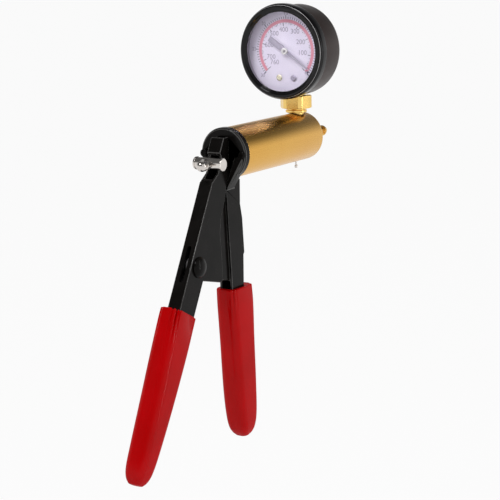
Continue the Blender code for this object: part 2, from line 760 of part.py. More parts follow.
def build_lever(material):
    lever = plate("lever", lever_outline(), CHANNEL_WIDTH, material)
    web = -WEB_TO_PIVOT
    inner_web = web + SHEET
    far = FLARE_REACH + OVERRUN
    space = [
        on_lever(LEVER_TOP_LENGTH + 2.0 * OVERRUN, inner_web),
        on_lever(LEVER_TOP_LENGTH + 2.0 * OVERRUN, far),
        on_lever(-LEVER_TAIL_LENGTH - OVERRUN, far),
        on_lever(-LEVER_TAIL_LENGTH - OVERRUN, TAIL_REAR_SHARES[0][1] * web + SHEET),
    ]
    space += [on_lever(-s * LEVER_TAIL_LENGTH, d * web + SHEET) for s, d in TAIL_REAR_SHARES[1:]]
    cut(lever, plate("lever_space", space, CHANNEL_WIDTH - 2.0 * SHEET))
    outside = web - OVERRUN
    mouth_slope = (NOTCH_MOUTH_TOP - NOTCH_FLOOR_TOP) / NOTCH_DEPTH
    foot_slope = (NOTCH_FLOOR_FOOT - NOTCH_MOUTH_FOOT) / NOTCH_DEPTH
    notch = [
        on_lever(NOTCH_MOUTH_TOP + OVERRUN * mouth_slope, outside),
        on_lever(NOTCH_FLOOR_TOP, web + NOTCH_DEPTH),
        on_lever(NOTCH_FLOOR_FOOT, web + NOTCH_DEPTH),
        on_lever(NOTCH_MOUTH_FOOT - OVERRUN * foot_slope, outside),
    ]
    cut(lever, plate("notch", notch, CHANNEL_WIDTH + 2.0 * OVERRUN))
    slot_end = SLOT_WIDTH / 2.0
    slot = [
        on_lever(SLOT_TOP_LENGTH - slot_end, outside),
        on_lever(SLOT_TOP_LENGTH - slot_end, inner_web + OVERLAP),
        on_lever(slot_end - SLOT_FOOT_LENGTH, inner_web + OVERLAP),
        on_lever(slot_end - SLOT_FOOT_LENGTH, outside),
    ]
    cut(lever, plate("spring_slot", slot, SLOT_WIDTH))
    across = Vector((math.cos(LEVER_LEAN), 0.0, -math.sin(LEVER_LEAN)))
    for name, along in (("slot_top", SLOT_TOP_LENGTH - slot_end), ("slot_foot", slot_end - SLOT_FOOT_LENGTH)):
        centre = on_lever(along, web)
        drill(lever, name, slot_end, -OVERRUN, SHEET + OVERLAP, centre, across)
    reach = CHANNEL_WIDTH / 2.0 + OVERRUN
    hole = rod_shape("rivet_hole", RIVET_RADIUS + RUNNING_GAP, -reach, reach, on_lever(0.0, 0.0), LEFT)
    cut(lever, hole)
    return lever


def build_pivot(rivet_material, bush_material):
    pivot = on_lever(0.0, 0.0)
    seat = CHANNEL_WIDTH / 2.0 + FIT_GAP
    dome = []
    for i in range(6):
        angle = math.radians(90.0) * i / 5
        dome.append((RIVET_DOME_RADIUS * math.cos(angle), -seat - RIVET_DOME_HEIGHT * math.sin(angle)))
    dome[-1] = (0.0, -seat - RIVET_DOME_HEIGHT)
    tail_top = seat + RIVET_TAIL_HEIGHT
    profile = [
        (0.0, tail_top),
        (RIVET_TAIL_RADIUS * RIVET_TAIL_CROWN_SHARE, tail_top),
        (RIVET_TAIL_RADIUS, seat + RIVET_TAIL_HEIGHT / 2.0),
        (RIVET_TAIL_RADIUS, seat),
        (RIVET_RADIUS, seat),
        (RIVET_RADIUS, -seat),
    ]
    turned("pivot_rivet", profile + dome, pivot, LEFT, rivet_material, 32)
    reach = EAR_SLOT / 2.0 - RUNNING_GAP
    hole = RIVET_RADIUS + RUNNING_GAP
    ring_shape("pivot_bush", hole, BUSH_RADIUS, -reach, reach, pivot, LEFT, bush_material, SMALL_STEPS)


def rounded_section(places_of, rear, front, half_width):
    """Sixteen places round a grip at one station, with round corners."""
    corner = GRIP_CORNER_SHARE * 2.0 * half_width
    section = []
    for cx, cy, start in (
        (front - corner, half_width - corner, 0.0),
        (rear + corner, half_width - corner, 90.0),
        (rear + corner, corner - half_width, 180.0),
        (front - corner, corner - half_width, 270.0),
    ):
        for i in range(5):
            angle = math.radians(start + 90.0 * i / 4)
            section.append(places_of(cx + corner * math.cos(angle), cy + corner * math.sin(angle)))
    return section


def loft(name, sections, material):
    """A closed body through sections that have the same number of places."""
    mesh = bpy.data.meshes.new(name)
    work = bmesh.new()
    rings = [[work.verts.new(place) for place in section] for section in sections]
    for lower, upper in zip(rings, rings[1:]):
        for i in range(len(lower)):
            j = (i + 1) % len(lower)
            work.faces.new((lower[i], lower[j], upper[j], upper[i]))
    work.faces.new(rings[0])
    work.faces.new(rings[-1])
    bmesh.ops.recalc_face_normals(work, faces=work.faces)
    work.to_mesh(mesh)
    work.free()
    obj = add_object(name, mesh, material)
    shade(obj, math.radians(50.0))
    return obj


def build_grips(material):
    """Two sleeves, each a closed bag over the end of its handle."""
    sections = []
    for share, rear, front, width in FIXED_GRIP_SHARES:
        z = -FIXED_GRIP_TOP_DROP - share * FIXED_GRIP_LENGTH
        sections.append(
            rounded_section(
                lambda x, y, z=z: at(x, y, z),
                rear * HANDLE_DEPTH,
                front * HANDLE_DEPTH,
                width * GRIP_WIDTH / 2.0,
            )
        )
    fixed = loft("fixed_grip", sections, material)
    cavity = CHANNEL_WIDTH + 2.0 * FIT_GAP
    cut(fixed, plate("fixed_grip_space", handle_outline(FIT_GAP), cavity))

    sections = []
    for share, rear, front, width in LEVER_GRIP_SHARES:
        along = LEVER_GRIP_TOP - share * LEVER_GRIP_LENGTH
        sections.append(
            rounded_section(
                lambda across, y, along=along: on_lever(along, across, y),
                rear * LEVER_DEPTH - WEB_TO_PIVOT,
                front * LEVER_DEPTH - WEB_TO_PIVOT,
                width * GRIP_WIDTH / 2.0,
            )
        )
    moving = loft("lever_grip", sections, material)
    front = LEVER_DEPTH - WEB_TO_PIVOT + FIT_GAP
    above = -TAIL_MOUTH_SHARE * LEVER_TAIL_LENGTH
    mouth = [on_lever(above, -WEB_TO_PIVOT - FIT_GAP), on_lever(above, front)]
    cut(moving, plate("lever_grip_space", mouth + lever_tail(FIT_GAP), cavity))
    return moving


def build_cylinder(material):
    """The cylinder tube, with its front edge rounded, and holes for the screws, gauge and release pin."""
    end = CYLINDER_LENGTH
    outer = [(BORE_RADIUS, end)]
    for i in range(5):
        angle = math.radians(90.0 - 90.0 * i / 4)
        outer.append(
            (
                CYLINDER_RADIUS - CYLINDER_EDGE + CYLINDER_EDGE * math.cos(angle),
                end - CYLINDER_EDGE + CYLINDER_EDGE * math.sin(angle),
            )
        )
    outer += [(CYLINDER_RADIUS, 0.0), (BORE_RADIUS, 0.0)]
    tube = turned("cylinder_tube", outer, at(0.0), FORWARD, material)
    port = SOCKET_THREAD_RADIUS + FIT_GAP
    drill(tube, "gauge_port", port, 0.0, CYLINDER_RADIUS + OVERRUN, at(PORT_X), UP, SMALL_STEPS)
    hole = RELEASE_STEM_RADIUS + FIT_GAP
    reach = -CYLINDER_RADIUS - OVERRUN
    drill(tube, "release_hole", hole, reach, 0.0, at(RELEASE_X), UP)
    for name, y in head_screw_places():
        depth = HEAD_SCREW_DEPTH + FIT_GAP
        radius = HEAD_SCREW_RADIUS + FIT_GAP
        drill(tube, name + "_thread", radius, -OVERRUN, depth, at(0.0, y), FORWARD)


def rod_axis():
    """The cross pin's middle and the direction from there up the sloping rod."""
    pin = at(PIN_X, 0.0, -PIN_DROP)
    seat = at(PISTON_REAR_X + ROD_SEAT_DEPTH)
    return pin, (seat - pin).normalized(), (seat - pin).length


def build_rod(chrome, nut_material):
    pin, direction, length = rod_axis()
    shoulder = PIN_RADIUS + FIT_GAP
    profile = [
        (0.0, length),
        (ROD_RADIUS, length),
        (ROD_RADIUS, shoulder),
        (ROD_END_RADIUS, shoulder),
        (ROD_END_RADIUS, -ROD_END_LENGTH),
        (0.0, -ROD_END_LENGTH),
    ]
    turned("piston_rod", profile, pin, direction, chrome, SMALL_STEPS)

    half = PIN_LENGTH / 2.0
    neck = half - PIN_HEAD_LENGTH
    profile = [
        (0.0, half),
        (PIN_HEAD_RADIUS - PIN_EDGE, half),
        (PIN_HEAD_RADIUS, half - PIN_EDGE),
        (PIN_HEAD_RADIUS, neck),
        (PIN_RADIUS, neck),
        (PIN_RADIUS, -neck),
        (PIN_HEAD_RADIUS, -neck),
        (PIN_HEAD_RADIUS, PIN_EDGE - half),
        (PIN_HEAD_RADIUS - PIN_EDGE, -half),
        (0.0, -half),
    ]
    cross = turned("cross_pin", profile, pin, LEFT, chrome, 32)
    hole = ROD_END_RADIUS + FIT_GAP
    reach = PIN_RADIUS + OVERRUN
    drill(cross, "cross_pin_hole", hole, -reach, reach, pin, direction, SMALL_STEPS)

    face = -PIN_RADIUS - FIT_GAP
    foot = face - NUT_HEIGHT
    nut = prism("cap_nut", NUT_RADIUS, foot, face, pin, direction, nut_material)
    centre = foot - NUT_COLLAR
    dome = [(0.0, foot + OVERLAP), (NUT_DOME_RADIUS, foot + OVERLAP), (NUT_DOME_RADIUS, centre)]
    for i in range(1, 6):
        angle = math.radians(90.0) * i / 6
        dome.append((NUT_DOME_RADIUS * math.cos(angle), centre - NUT_DOME_RADIUS * math.sin(angle)))
    dome.append((0.0, centre - NUT_DOME_RADIUS))
    join(nut, turned("nut_dome", dome, pin, direction, None, 24))
    thread = -ROD_END_LENGTH - FIT_GAP
    drill(nut, "nut_thread", hole, thread, face + OVERRUN, pin, direction, SMALL_STEPS)


def build_piston(body_material, seal_material, steel, guide_material):
    rear = PISTON_REAR_X
    front = rear + PISTON_LENGTH
    groove = PISTON_RADIUS - RING_DEPTH
    profile = [
        (0.0, front),
        (PISTON_RADIUS, front),
        (PISTON_RADIUS, RING_X + RING_WIDTH),
        (groove, RING_X + RING_WIDTH),
        (groove, RING_X),
        (PISTON_RADIUS, RING_X),
        (PISTON_RADIUS, rear),
        (0.0, rear),
    ]
    piston = turned("piston", profile, at(0.0), FORWARD, body_material)
    pin, direction, length = rod_axis()
    seat = ROD_RADIUS + FIT_GAP
    drill(
        piston,
        "rod_seat",
        seat,
        length - 2.0 * ROD_SEAT_DEPTH,
        length + FIT_GAP,
        pin,
        direction,
        SMALL_STEPS,
    )
    hole = PISTON_SCREW_RADIUS + FIT_GAP
    floor = front - PISTON_SCREW_DEPTH
    drill(piston, "piston_screw_hole", hole, floor, front + OVERRUN, at(0.0), FORWARD, SMALL_STEPS)
    ring_shape(
        "piston_guide_ring",
        groove + FIT_GAP,
        BORE_RADIUS - RUNNING_GAP,
        RING_X + RUNNING_GAP,
        RING_X + RING_WIDTH - RUNNING_GAP,
        at(0.0),
        FORWARD,
        guide_material,
    )
    cup_rear = front + FIT_GAP
    lip = BORE_RADIUS - RUNNING_GAP
    profile = [
        (lip, cup_rear + CUP_LENGTH),
        (lip, cup_rear + CUP_THICKNESS),
        (lip - CUP_LIP, cup_rear),
        (hole, cup_rear),
        (hole, cup_rear + CUP_THICKNESS),
        (lip - CUP_LIP, cup_rear + CUP_THICKNESS),
        (lip - CUP_LIP / 2.0, cup_rear + CUP_LENGTH),
    ]
    turned("piston_cup_seal", profile, at(0.0), FORWARD, seal_material)
    washer = cup_rear + CUP_THICKNESS + FIT_GAP
    ring_shape(
        "cup_washer", hole, WASHER_RADIUS, washer, washer + WASHER_THICKNESS, at(0.0), FORWARD, steel, 32
    )
    head = washer + WASHER_THICKNESS + FIT_GAP
    profile = [
        (0.0, head + PISTON_SCREW_HEAD_HEIGHT),
        (PISTON_SCREW_HEAD_RADIUS, head + PISTON_SCREW_HEAD_HEIGHT),
        (PISTON_SCREW_HEAD_RADIUS, head),
        (PISTON_SCREW_RADIUS, head),
        (PISTON_SCREW_RADIUS, floor + FIT_GAP),
        (0.0, floor + FIT_GAP),
    ]
    turned("piston_screw", profile, at(0.0), FORWARD, steel, SMALL_STEPS)


def helix(origin, axis, side, radius, start, end, curls, points_per_curl):
    """World places on a coil about an axis, from one distance along it to another."""
    other = axis.cross(side)
    count = curls * points_per_curl
    places = []
    for i in range(count + 1):
        angle = math.tau * i / points_per_curl
        along = start + (end - start) * i / count
        round_part = side * math.cos(angle) + other * math.sin(angle)
        places.append(origin + axis * along + round_part * radius)
    return places


def least_gap(name, places, wire, points_per_curl):
    """Prints the smallest free gap between places of the coil that are over half a curl apart."""
    apart = points_per_curl // 2 + 1
    least = min(
        (places[i] - places[j]).length for i in range(len(places)) for j in range(i + apart, len(places))
    )
    print(f"{name}: least gap to itself {(least - 2.0 * wire) * 1000.0:.2f} mm")


def build_springs(material):
    start = SPIGOT_LENGTH + FIT_GAP + SPRING_WIRE
    end = PISTON_REAR_X - FIT_GAP - SPRING_WIRE
    places = helix(at(0.0), FORWARD, UP, SPRING_RADIUS, start, end, SPRING_CURLS, SPRING_POINTS)
    tube_along("return_spring", places, SPRING_WIRE, material)
    least_gap("return_spring", places, SPRING_WIRE, SPRING_POINTS)

    foot = RELEASE_DISC_HEIGHT + RELEASE_SEAL_HEIGHT + 3.0 * FIT_GAP - CHAMBER_FLOOR_DROP
    start = foot + RELEASE_SPRING_WIRE
    end = SOCKET_THREAD_FOOT - FIT_GAP - RELEASE_SPRING_WIRE
    places = helix(
        at(RELEASE_X), UP, FORWARD, RELEASE_SPRING_RADIUS, start, end, RELEASE_SPRING_CURLS, SPRING_POINTS
    )
    tube_along("release_spring", places, RELEASE_SPRING_WIRE, material)
    least_gap("release_spring", places, RELEASE_SPRING_WIRE, SPRING_POINTS)


def build_front_plug(brass, rubber, steel):
    """The plug that closes the cylinder's front and carries the passages, and its seal and flap valve."""
    rear = PLUG_REAR_X
    front = CYLINDER_LENGTH - PLUG_INSET
    radius = BORE_RADIUS - RUNNING_GAP
    seal_radius = BORE_RADIUS - RUNNING_GAP - PLUG_SEAL_SECTION
    groove = seal_radius - PLUG_SEAL_SECTION - FIT_GAP
    half = PLUG_SEAL_SECTION + FIT_GAP
    nozzle_hole = NOZZLE_THREAD_RADIUS + FIT_GAP
    nozzle_floor = front - NOZZLE_THREAD_LENGTH - FIT_GAP
    stud_hole = STUD_RADIUS + FIT_GAP
    stud_floor = rear + STUD_DEPTH + FIT_GAP
    pocket = FLAP_PORT_CIRCLE + FLAP_PORT_RADIUS + FIT_GAP
    profile = [
        (0.0, PASSAGE_REAR_X),
        (pocket, PASSAGE_REAR_X),
        (pocket, PASSAGE_REAR_X + POCKET_LENGTH),
        (PASSAGE_RADIUS, PASSAGE_REAR_X + POCKET_LENGTH),
        (PASSAGE_RADIUS, nozzle_floor),
        (nozzle_hole, nozzle_floor),
        (nozzle_hole, front),
        (radius, front),
        (radius, PLUG_SEAL_X + half),
        (groove, PLUG_SEAL_X + half),
        (groove, PLUG_SEAL_X - half),
        (radius, PLUG_SEAL_X - half),
        (radius, rear),
        (stud_hole, rear),
        (stud_hole, stud_floor),
        (0.0, stud_floor),
    ]
    plug = turned("front_plug", profile, at(0.0), FORWARD, brass)
    port = SOCKET_THREAD_RADIUS + FIT_GAP
    drill(
        plug,
        "plug_port",
        port,
        SOCKET_THREAD_FOOT - FIT_GAP,
        BORE_RADIUS + OVERRUN,
        at(PORT_X),
        UP,
        SMALL_STEPS,
    )
    stem = RELEASE_STEM_RADIUS + FIT_GAP
    below = -BORE_RADIUS - OVERRUN
    chamber = [
        (0.0, SOCKET_THREAD_FOOT),
        (CHAMBER_RADIUS, SOCKET_THREAD_FOOT),
        (CHAMBER_RADIUS, -CHAMBER_FLOOR_DROP),
        (stem, -CHAMBER_FLOOR_DROP),
        (stem, below),
        (0.0, below),
    ]
    cut(plug, turned("chamber", chamber, at(RELEASE_X), UP, None, SMALL_STEPS))
    port_end = PASSAGE_REAR_X + POCKET_LENGTH / 2.0
    for i in range(FLAP_PORTS):
        angle = math.tau * (i + 0.5) / FLAP_PORTS
        y = FLAP_PORT_CIRCLE * math.cos(angle)
        z = FLAP_PORT_CIRCLE * math.sin(angle)
        place = at(0.0, y, z)
        drill(plug, f"flap_port_{i + 1}", FLAP_PORT_RADIUS, rear - OVERRUN, port_end, place, FORWARD)
    ring = []
    for i in range(8):
        angle = math.tau * i / 8
        radius = seal_radius + PLUG_SEAL_SECTION * math.cos(angle)
        ring.append((radius, PLUG_SEAL_X + PLUG_SEAL_SECTION * math.sin(angle)))
    turned("plug_seal_ring", ring, at(0.0), FORWARD, rubber)
    flap_front = rear - RUNNING_GAP
    flap_rear = flap_front - FLAP_THICKNESS
    ring_shape("inlet_flap", stud_hole, FLAP_RADIUS, flap_rear, flap_front, at(0.0), FORWARD, rubber, 24)
    head = flap_rear - RUNNING_GAP
    profile = [
        (0.0, rear + STUD_DEPTH),
        (STUD_RADIUS, rear + STUD_DEPTH),
        (STUD_RADIUS, head),
        (STUD_HEAD_RADIUS, head),
        (STUD_HEAD_RADIUS, head - STUD_HEAD_HEIGHT),
        (0.0, head - STUD_HEAD_HEIGHT),
    ]
    turned("flap_stud", profile, at(0.0), FORWARD, steel, TINY_STEPS)


def build_nozzle(brass, rubber):
    """The hose barb: a threaded foot, a hexagon, a stem with barbs and a bore right through."""
    face = CYLINDER_LENGTH + SEAL_WASHER_HEIGHT + FIT_GAP
    foot = CYLINDER_LENGTH - PLUG_INSET - NOZZLE_THREAD_LENGTH
    tip = CYLINDER_LENGTH + NOZZLE_REACH
    profile = [(0.0, tip)]
    for i in range(NOZZLE_BARBS):
        crest = tip - (i + 1) * NOZZLE_BARB_LENGTH + NOZZLE_BARB_LENGTH / 2.0
        start = NOZZLE_STEM_RADIUS
        profile += [
            (start, tip - i * NOZZLE_BARB_LENGTH),
            (NOZZLE_BARB_RADIUS, crest),
            (NOZZLE_BARB_RADIUS, crest - NOZZLE_BARB_LENGTH / 5.0),
            (start, crest - NOZZLE_BARB_LENGTH / 4.0),
        ]
    profile += [
        (NOZZLE_STEM_RADIUS, face),
        (NOZZLE_THREAD_RADIUS, face),
        (NOZZLE_THREAD_RADIUS, foot),
        (0.0, foot),
    ]
    nozzle = turned("hose_nozzle", profile, at(0.0), FORWARD, brass, 24)
    join(nozzle, prism("nozzle_hex", NOZZLE_HEX_RADIUS, face, face + NOZZLE_HEX_LENGTH, at(0.0), FORWARD))
    drill(nozzle, "nozzle_bore", NOZZLE_BORE, foot - OVERRUN, tip + OVERRUN, at(0.0), FORWARD)
    washer = CYLINDER_LENGTH - PLUG_INSET + RUNNING_GAP
    ring_shape(
        "nozzle_washer",
        NOZZLE_THREAD_RADIUS + FIT_GAP,
        NOZZLE_HEX_RADIUS,
        washer,
        face - RUNNING_GAP,
        at(0.0),
        FORWARD,
        rubber,
        24,
    )


def build_release_valve(steel, rubber):
    """A pin that is pushed up from below the cylinder to lift its disc off the seat and let air in."""
    seal_foot = FIT_GAP - CHAMBER_FLOOR_DROP
    seal_top = seal_foot + RELEASE_SEAL_HEIGHT
    disc = seal_top + FIT_GAP
    top = disc + RELEASE_DISC_HEIGHT
    head_top = RELEASE_HEAD_HEIGHT - RELEASE_REACH
    profile = [
        (0.0, top),
        (RELEASE_DISC_RADIUS, top),
        (RELEASE_DISC_RADIUS, disc),
        (RELEASE_STEM_RADIUS, disc),
        (RELEASE_STEM_RADIUS, head_top),
        (RELEASE_HEAD_RADIUS, head_top),
        (RELEASE_HEAD_RADIUS, RELEASE_HEAD_HEIGHT / 3.0 - RELEASE_REACH),
        (RELEASE_HEAD_RADIUS / 2.0, -RELEASE_REACH),
        (0.0, -RELEASE_REACH),
    ]
    turned("release_pin", profile, at(RELEASE_X), UP, steel, TINY_STEPS)
    ring_shape(
        "release_seal",
        RELEASE_STEM_RADIUS + RUNNING_GAP,
        RELEASE_DISC_RADIUS,
        seal_foot,
        seal_top,
        at(RELEASE_X),
        UP,
        rubber,
        TINY_STEPS,
    )


def build_gauge_socket(brass, rubber):
    """The gauge's brass foot: thread, collar, hexagon, neck into the case and the block for the tube."""
    block_foot = GAUGE_HEIGHT - BLOCK_FOOT_DROP
    profile = [
        (0.0, block_foot + OVERLAP),
        (SOCKET_NECK_RADIUS, block_foot + OVERLAP),
        (SOCKET_NECK_RADIUS, SOCKET_HEX_FOOT),
        (SOCKET_COLLAR_RADIUS, SOCKET_HEX_FOOT),
        (SOCKET_COLLAR_RADIUS, CYLINDER_RADIUS + SEAL_WASHER_HEIGHT + FIT_GAP),
        (SOCKET_THREAD_RADIUS, CYLINDER_RADIUS + SEAL_WASHER_HEIGHT + FIT_GAP),
        (SOCKET_THREAD_RADIUS, SOCKET_THREAD_FOOT),
        (0.0, SOCKET_THREAD_FOOT),
    ]
    socket = turned("gauge_socket", profile, at(PORT_X), UP, brass, 32)
    hexagon = prism(
        "socket_hex", SOCKET_HEX_RADIUS, SOCKET_HEX_FOOT - OVERLAP, SOCKET_HEX_TOP, at(PORT_X), UP
    )
    hexagon.rotation_euler.rotate_axis("Z", SOCKET_HEX_TURN)
    join(socket, hexagon)
    half = BLOCK_WIDTH / 2.0
    block_top = GAUGE_HEIGHT - BLOCK_TOP_DROP
    block = box("socket_block", at(BLOCK_X, -half, block_foot), at(BLOCK_X + BLOCK_LENGTH, half, block_top))
    join(socket, block)
    bore_top = block_foot + (block_top - block_foot) / 2.0
    drill(socket, "socket_bore", SOCKET_BORE, SOCKET_THREAD_FOOT - OVERRUN, bore_top, at(PORT_X), UP)
    start = tube_place(TUBE_START)
    tangent = Vector((0.0, -math.sin(TUBE_START), math.cos(TUBE_START)))
    tube_hole = TUBE_RADIUS + FIT_GAP
    drill(socket, "tube_hole", tube_hole, -FIT_GAP, BLOCK_WIDTH, start, tangent)
    ring_shape(
        "socket_washer",
        SOCKET_THREAD_RADIUS + FIT_GAP,
        SOCKET_COLLAR_RADIUS,
        CYLINDER_RADIUS + RUNNING_GAP,
        CYLINDER_RADIUS + SEAL_WASHER_HEIGHT + RUNNING_GAP / 2.0,
        at(PORT_X),
        UP,
        rubber,
        32,
    )
    return socket


def tube_place(angle):
    """A place on the pressure tube's circle; angle 0 is at the left, and 90 degrees is at the top."""
    return at(TUBE_X, TUBE_CIRCLE * math.cos(angle), GAUGE_HEIGHT + TUBE_CIRCLE * math.sin(angle))


def build_gauge_case(black, bezel_material, glass, gasket_material):
    centre = at(0.0, 0.0, GAUGE_HEIGHT)
    lip_rear = GAUGE_FRONT_X + BEZEL_LIP
    lens_front = lip_rear + RUNNING_GAP
    lens_rear = lens_front + LENS_THICKNESS
    gasket_front = lens_rear + RUNNING_GAP
    gasket_rear = gasket_front + GASKET_THICKNESS
    case_front = gasket_rear + RUNNING_GAP
    rear = GAUGE_REAR_X
    inner = CASE_INNER
    profile = [(0.0, rear)]
    for i in range(5):
        angle = math.radians(90.0 - 90.0 * i / 4)
        profile.append(
            (
                CASE_RADIUS - CASE_EDGE + CASE_EDGE * math.cos(angle),
                rear - CASE_EDGE + CASE_EDGE * math.sin(angle),
            )
        )
    profile += [(CASE_RADIUS, case_front), (inner, case_front)]
    inner_edge = CASE_EDGE - CASE_WALL
    for i in range(4):
        angle = math.radians(90.0 * i / 3)
        profile.append(
            (
                inner - inner_edge + inner_edge * math.cos(angle),
                rear - CASE_WALL - inner_edge + inner_edge * math.sin(angle),
            )
        )
    profile.append((0.0, rear - CASE_WALL))
    case = turned("gauge_case", profile, centre, FORWARD, black)
    neck = SOCKET_NECK_RADIUS + FIT_GAP
    drill(
        case,
        "neck_hole",
        neck,
        SOCKET_HEX_TOP,
        GAUGE_HEIGHT - CASE_RADIUS / 2.0,
        at(PORT_X),
        UP,
        SMALL_STEPS,
    )

    skirt_inner = CASE_RADIUS + FIT_GAP
    profile = [
        (BEZEL_RADIUS, GAUGE_FRONT_X + BEZEL_SKIRT),
        (BEZEL_RADIUS, GAUGE_FRONT_X + BEZEL_EDGE),
        (BEZEL_RADIUS - BEZEL_EDGE / 3.0, GAUGE_FRONT_X + BEZEL_EDGE / 3.0),
        (BEZEL_RADIUS - BEZEL_EDGE, GAUGE_FRONT_X),
        (BEZEL_LIP_RADIUS + BEZEL_EDGE, GAUGE_FRONT_X + BEZEL_EDGE / 3.0),
        (BEZEL_LIP_RADIUS, GAUGE_FRONT_X + BEZEL_EDGE),
        (BEZEL_LIP_RADIUS, lip_rear),
        (skirt_inner, lip_rear),
        (skirt_inner, GAUGE_FRONT_X + BEZEL_SKIRT),
    ]
    turned("gauge_bezel", profile, centre, FORWARD, bezel_material)
    lens_radius = CASE_RADIUS - RUNNING_GAP
    rod_shape("gauge_lens", lens_radius, lens_front, lens_rear, centre, FORWARD, glass, ROUND_STEPS)
    sleeve = inner - RUNNING_GAP
    profile = [
        (lens_radius, gasket_front),
        (lens_radius, gasket_rear),
        (sleeve, gasket_rear),
        (sleeve, DIAL_X - RUNNING_GAP),
        (sleeve - GASKET_WALL, DIAL_X - RUNNING_GAP),
        (sleeve - GASKET_WALL, gasket_front),
    ]
    turned("lens_gasket", profile, centre, FORWARD, gasket_material)


def build_dial(dial_material, steel, brass):
    centre = at(0.0, 0.0, GAUGE_HEIGHT)
    back = DIAL_X + DIAL_THICKNESS
    dial = rod_shape("gauge_dial", DIAL_RADIUS, DIAL_X, back, centre, FORWARD, dial_material, ROUND_STEPS)
    spindle = SPINDLE_RADIUS + FIT_GAP
    behind = DIAL_X + DIAL_THICKNESS + OVERRUN
    drill(dial, "dial_hole", spindle, DIAL_X - OVERRUN, behind, centre, FORWARD)
    shank = DIAL_SCREW_RADIUS
    end = FRONT_PLATE_X + PLATE_THICKNESS
    for name, y in (("dial_screw_left", DIAL_SCREW_SPREAD), ("dial_screw_right", -DIAL_SCREW_SPREAD)):
        place = at(0.0, y, GAUGE_HEIGHT - DIAL_SCREW_DROP)
        drill(dial, name + "_hole", shank + FIT_GAP, DIAL_X - OVERRUN, behind, place, FORWARD)
        seat = DIAL_X - RUNNING_GAP
        profile = [
            (0.0, end),
            (shank, end),
            (shank, seat),
            (DIAL_SCREW_HEAD_RADIUS, seat),
            (DIAL_SCREW_HEAD_RADIUS, seat - DIAL_SCREW_HEAD_HEIGHT / 2.0),
            (DIAL_SCREW_HEAD_RADIUS * SCREW_CROWN_SHARE, seat - DIAL_SCREW_HEAD_HEIGHT),
            (0.0, seat - DIAL_SCREW_HEAD_HEIGHT),
        ]
        turned(name, profile, place, FORWARD, brass if y > 0.0 else steel, TINY_STEPS)
    angle = POINTER_REST - STOP_PIN_LAG
    place = dial_place(STOP_PIN_CIRCLE, angle)
    drill(dial, "stop_hole", STOP_PIN_RADIUS + FIT_GAP, DIAL_X - OVERRUN, behind, place, FORWARD)
    top = DIAL_X - STOP_PIN_HEIGHT
    rod_shape("stop_pin", STOP_PIN_RADIUS, top, back, place, FORWARD, steel, TINY_STEPS)


def dial_place(radius, angle):
    """A place on the dial's axis line, out from its centre; angle 0 is at the reader's right."""
    return at(0.0, -radius * math.cos(angle), GAUGE_HEIGHT + radius * math.sin(angle))


def face_plate(name, outline, front_x, thickness, material=None):
    """A flat outline of (y, height above the datum) places, extruded along X from front_x."""
    curve = bpy.data.curves.new(name, "CURVE")
    curve.dimensions = "2D"
    curve.fill_mode = "BOTH"
    curve.extrude = thickness / 2.0
    spline = curve.splines.new("POLY")
    spline.points.add(len(outline) - 1)
    for point, (y, z) in zip(spline.points, outline):
        point.co = (y, z, 0.0, 1.0)
    spline.use_cyclic_u = True
    guide = bpy.data.objects.new(name + "_outline", curve)
    bpy.context.scene.collection.objects.link(guide)
    turn = Matrix(((0, 0, 1, 0), (1, 0, 0, 0), (0, 1, 0, 0), (0, 0, 0, 1)))
    guide.matrix_world = Matrix.Translation(at(front_x + thickness / 2.0)) @ turn
    return curve_to_mesh(name, guide, material)


def gear_outline(teeth, count, pitch_radius, centre, start):
    """Tooth places round a centre, as (y, z): count teeth of a wheel of the given number, from an angle."""
    step = math.tau / teeth
    tip = pitch_radius + TOOTH_ADDENDUM_SHARE * GEAR_MODULE
    root = pitch_radius - TOOTH_DEDENDUM_SHARE * GEAR_MODULE
    places = []
    for i in range(count):
        middle = start + i * step
        for radius, offset in (
            (root, -TOOTH_ROOT_SHARE),
            (tip, -TOOTH_TIP_SHARE),
            (tip, TOOTH_TIP_SHARE),
            (root, TOOTH_ROOT_SHARE),
        ):
            angle = middle + offset * step
            places.append((centre[0] + radius * math.cos(angle), centre[1] + radius * math.sin(angle)))
    return places


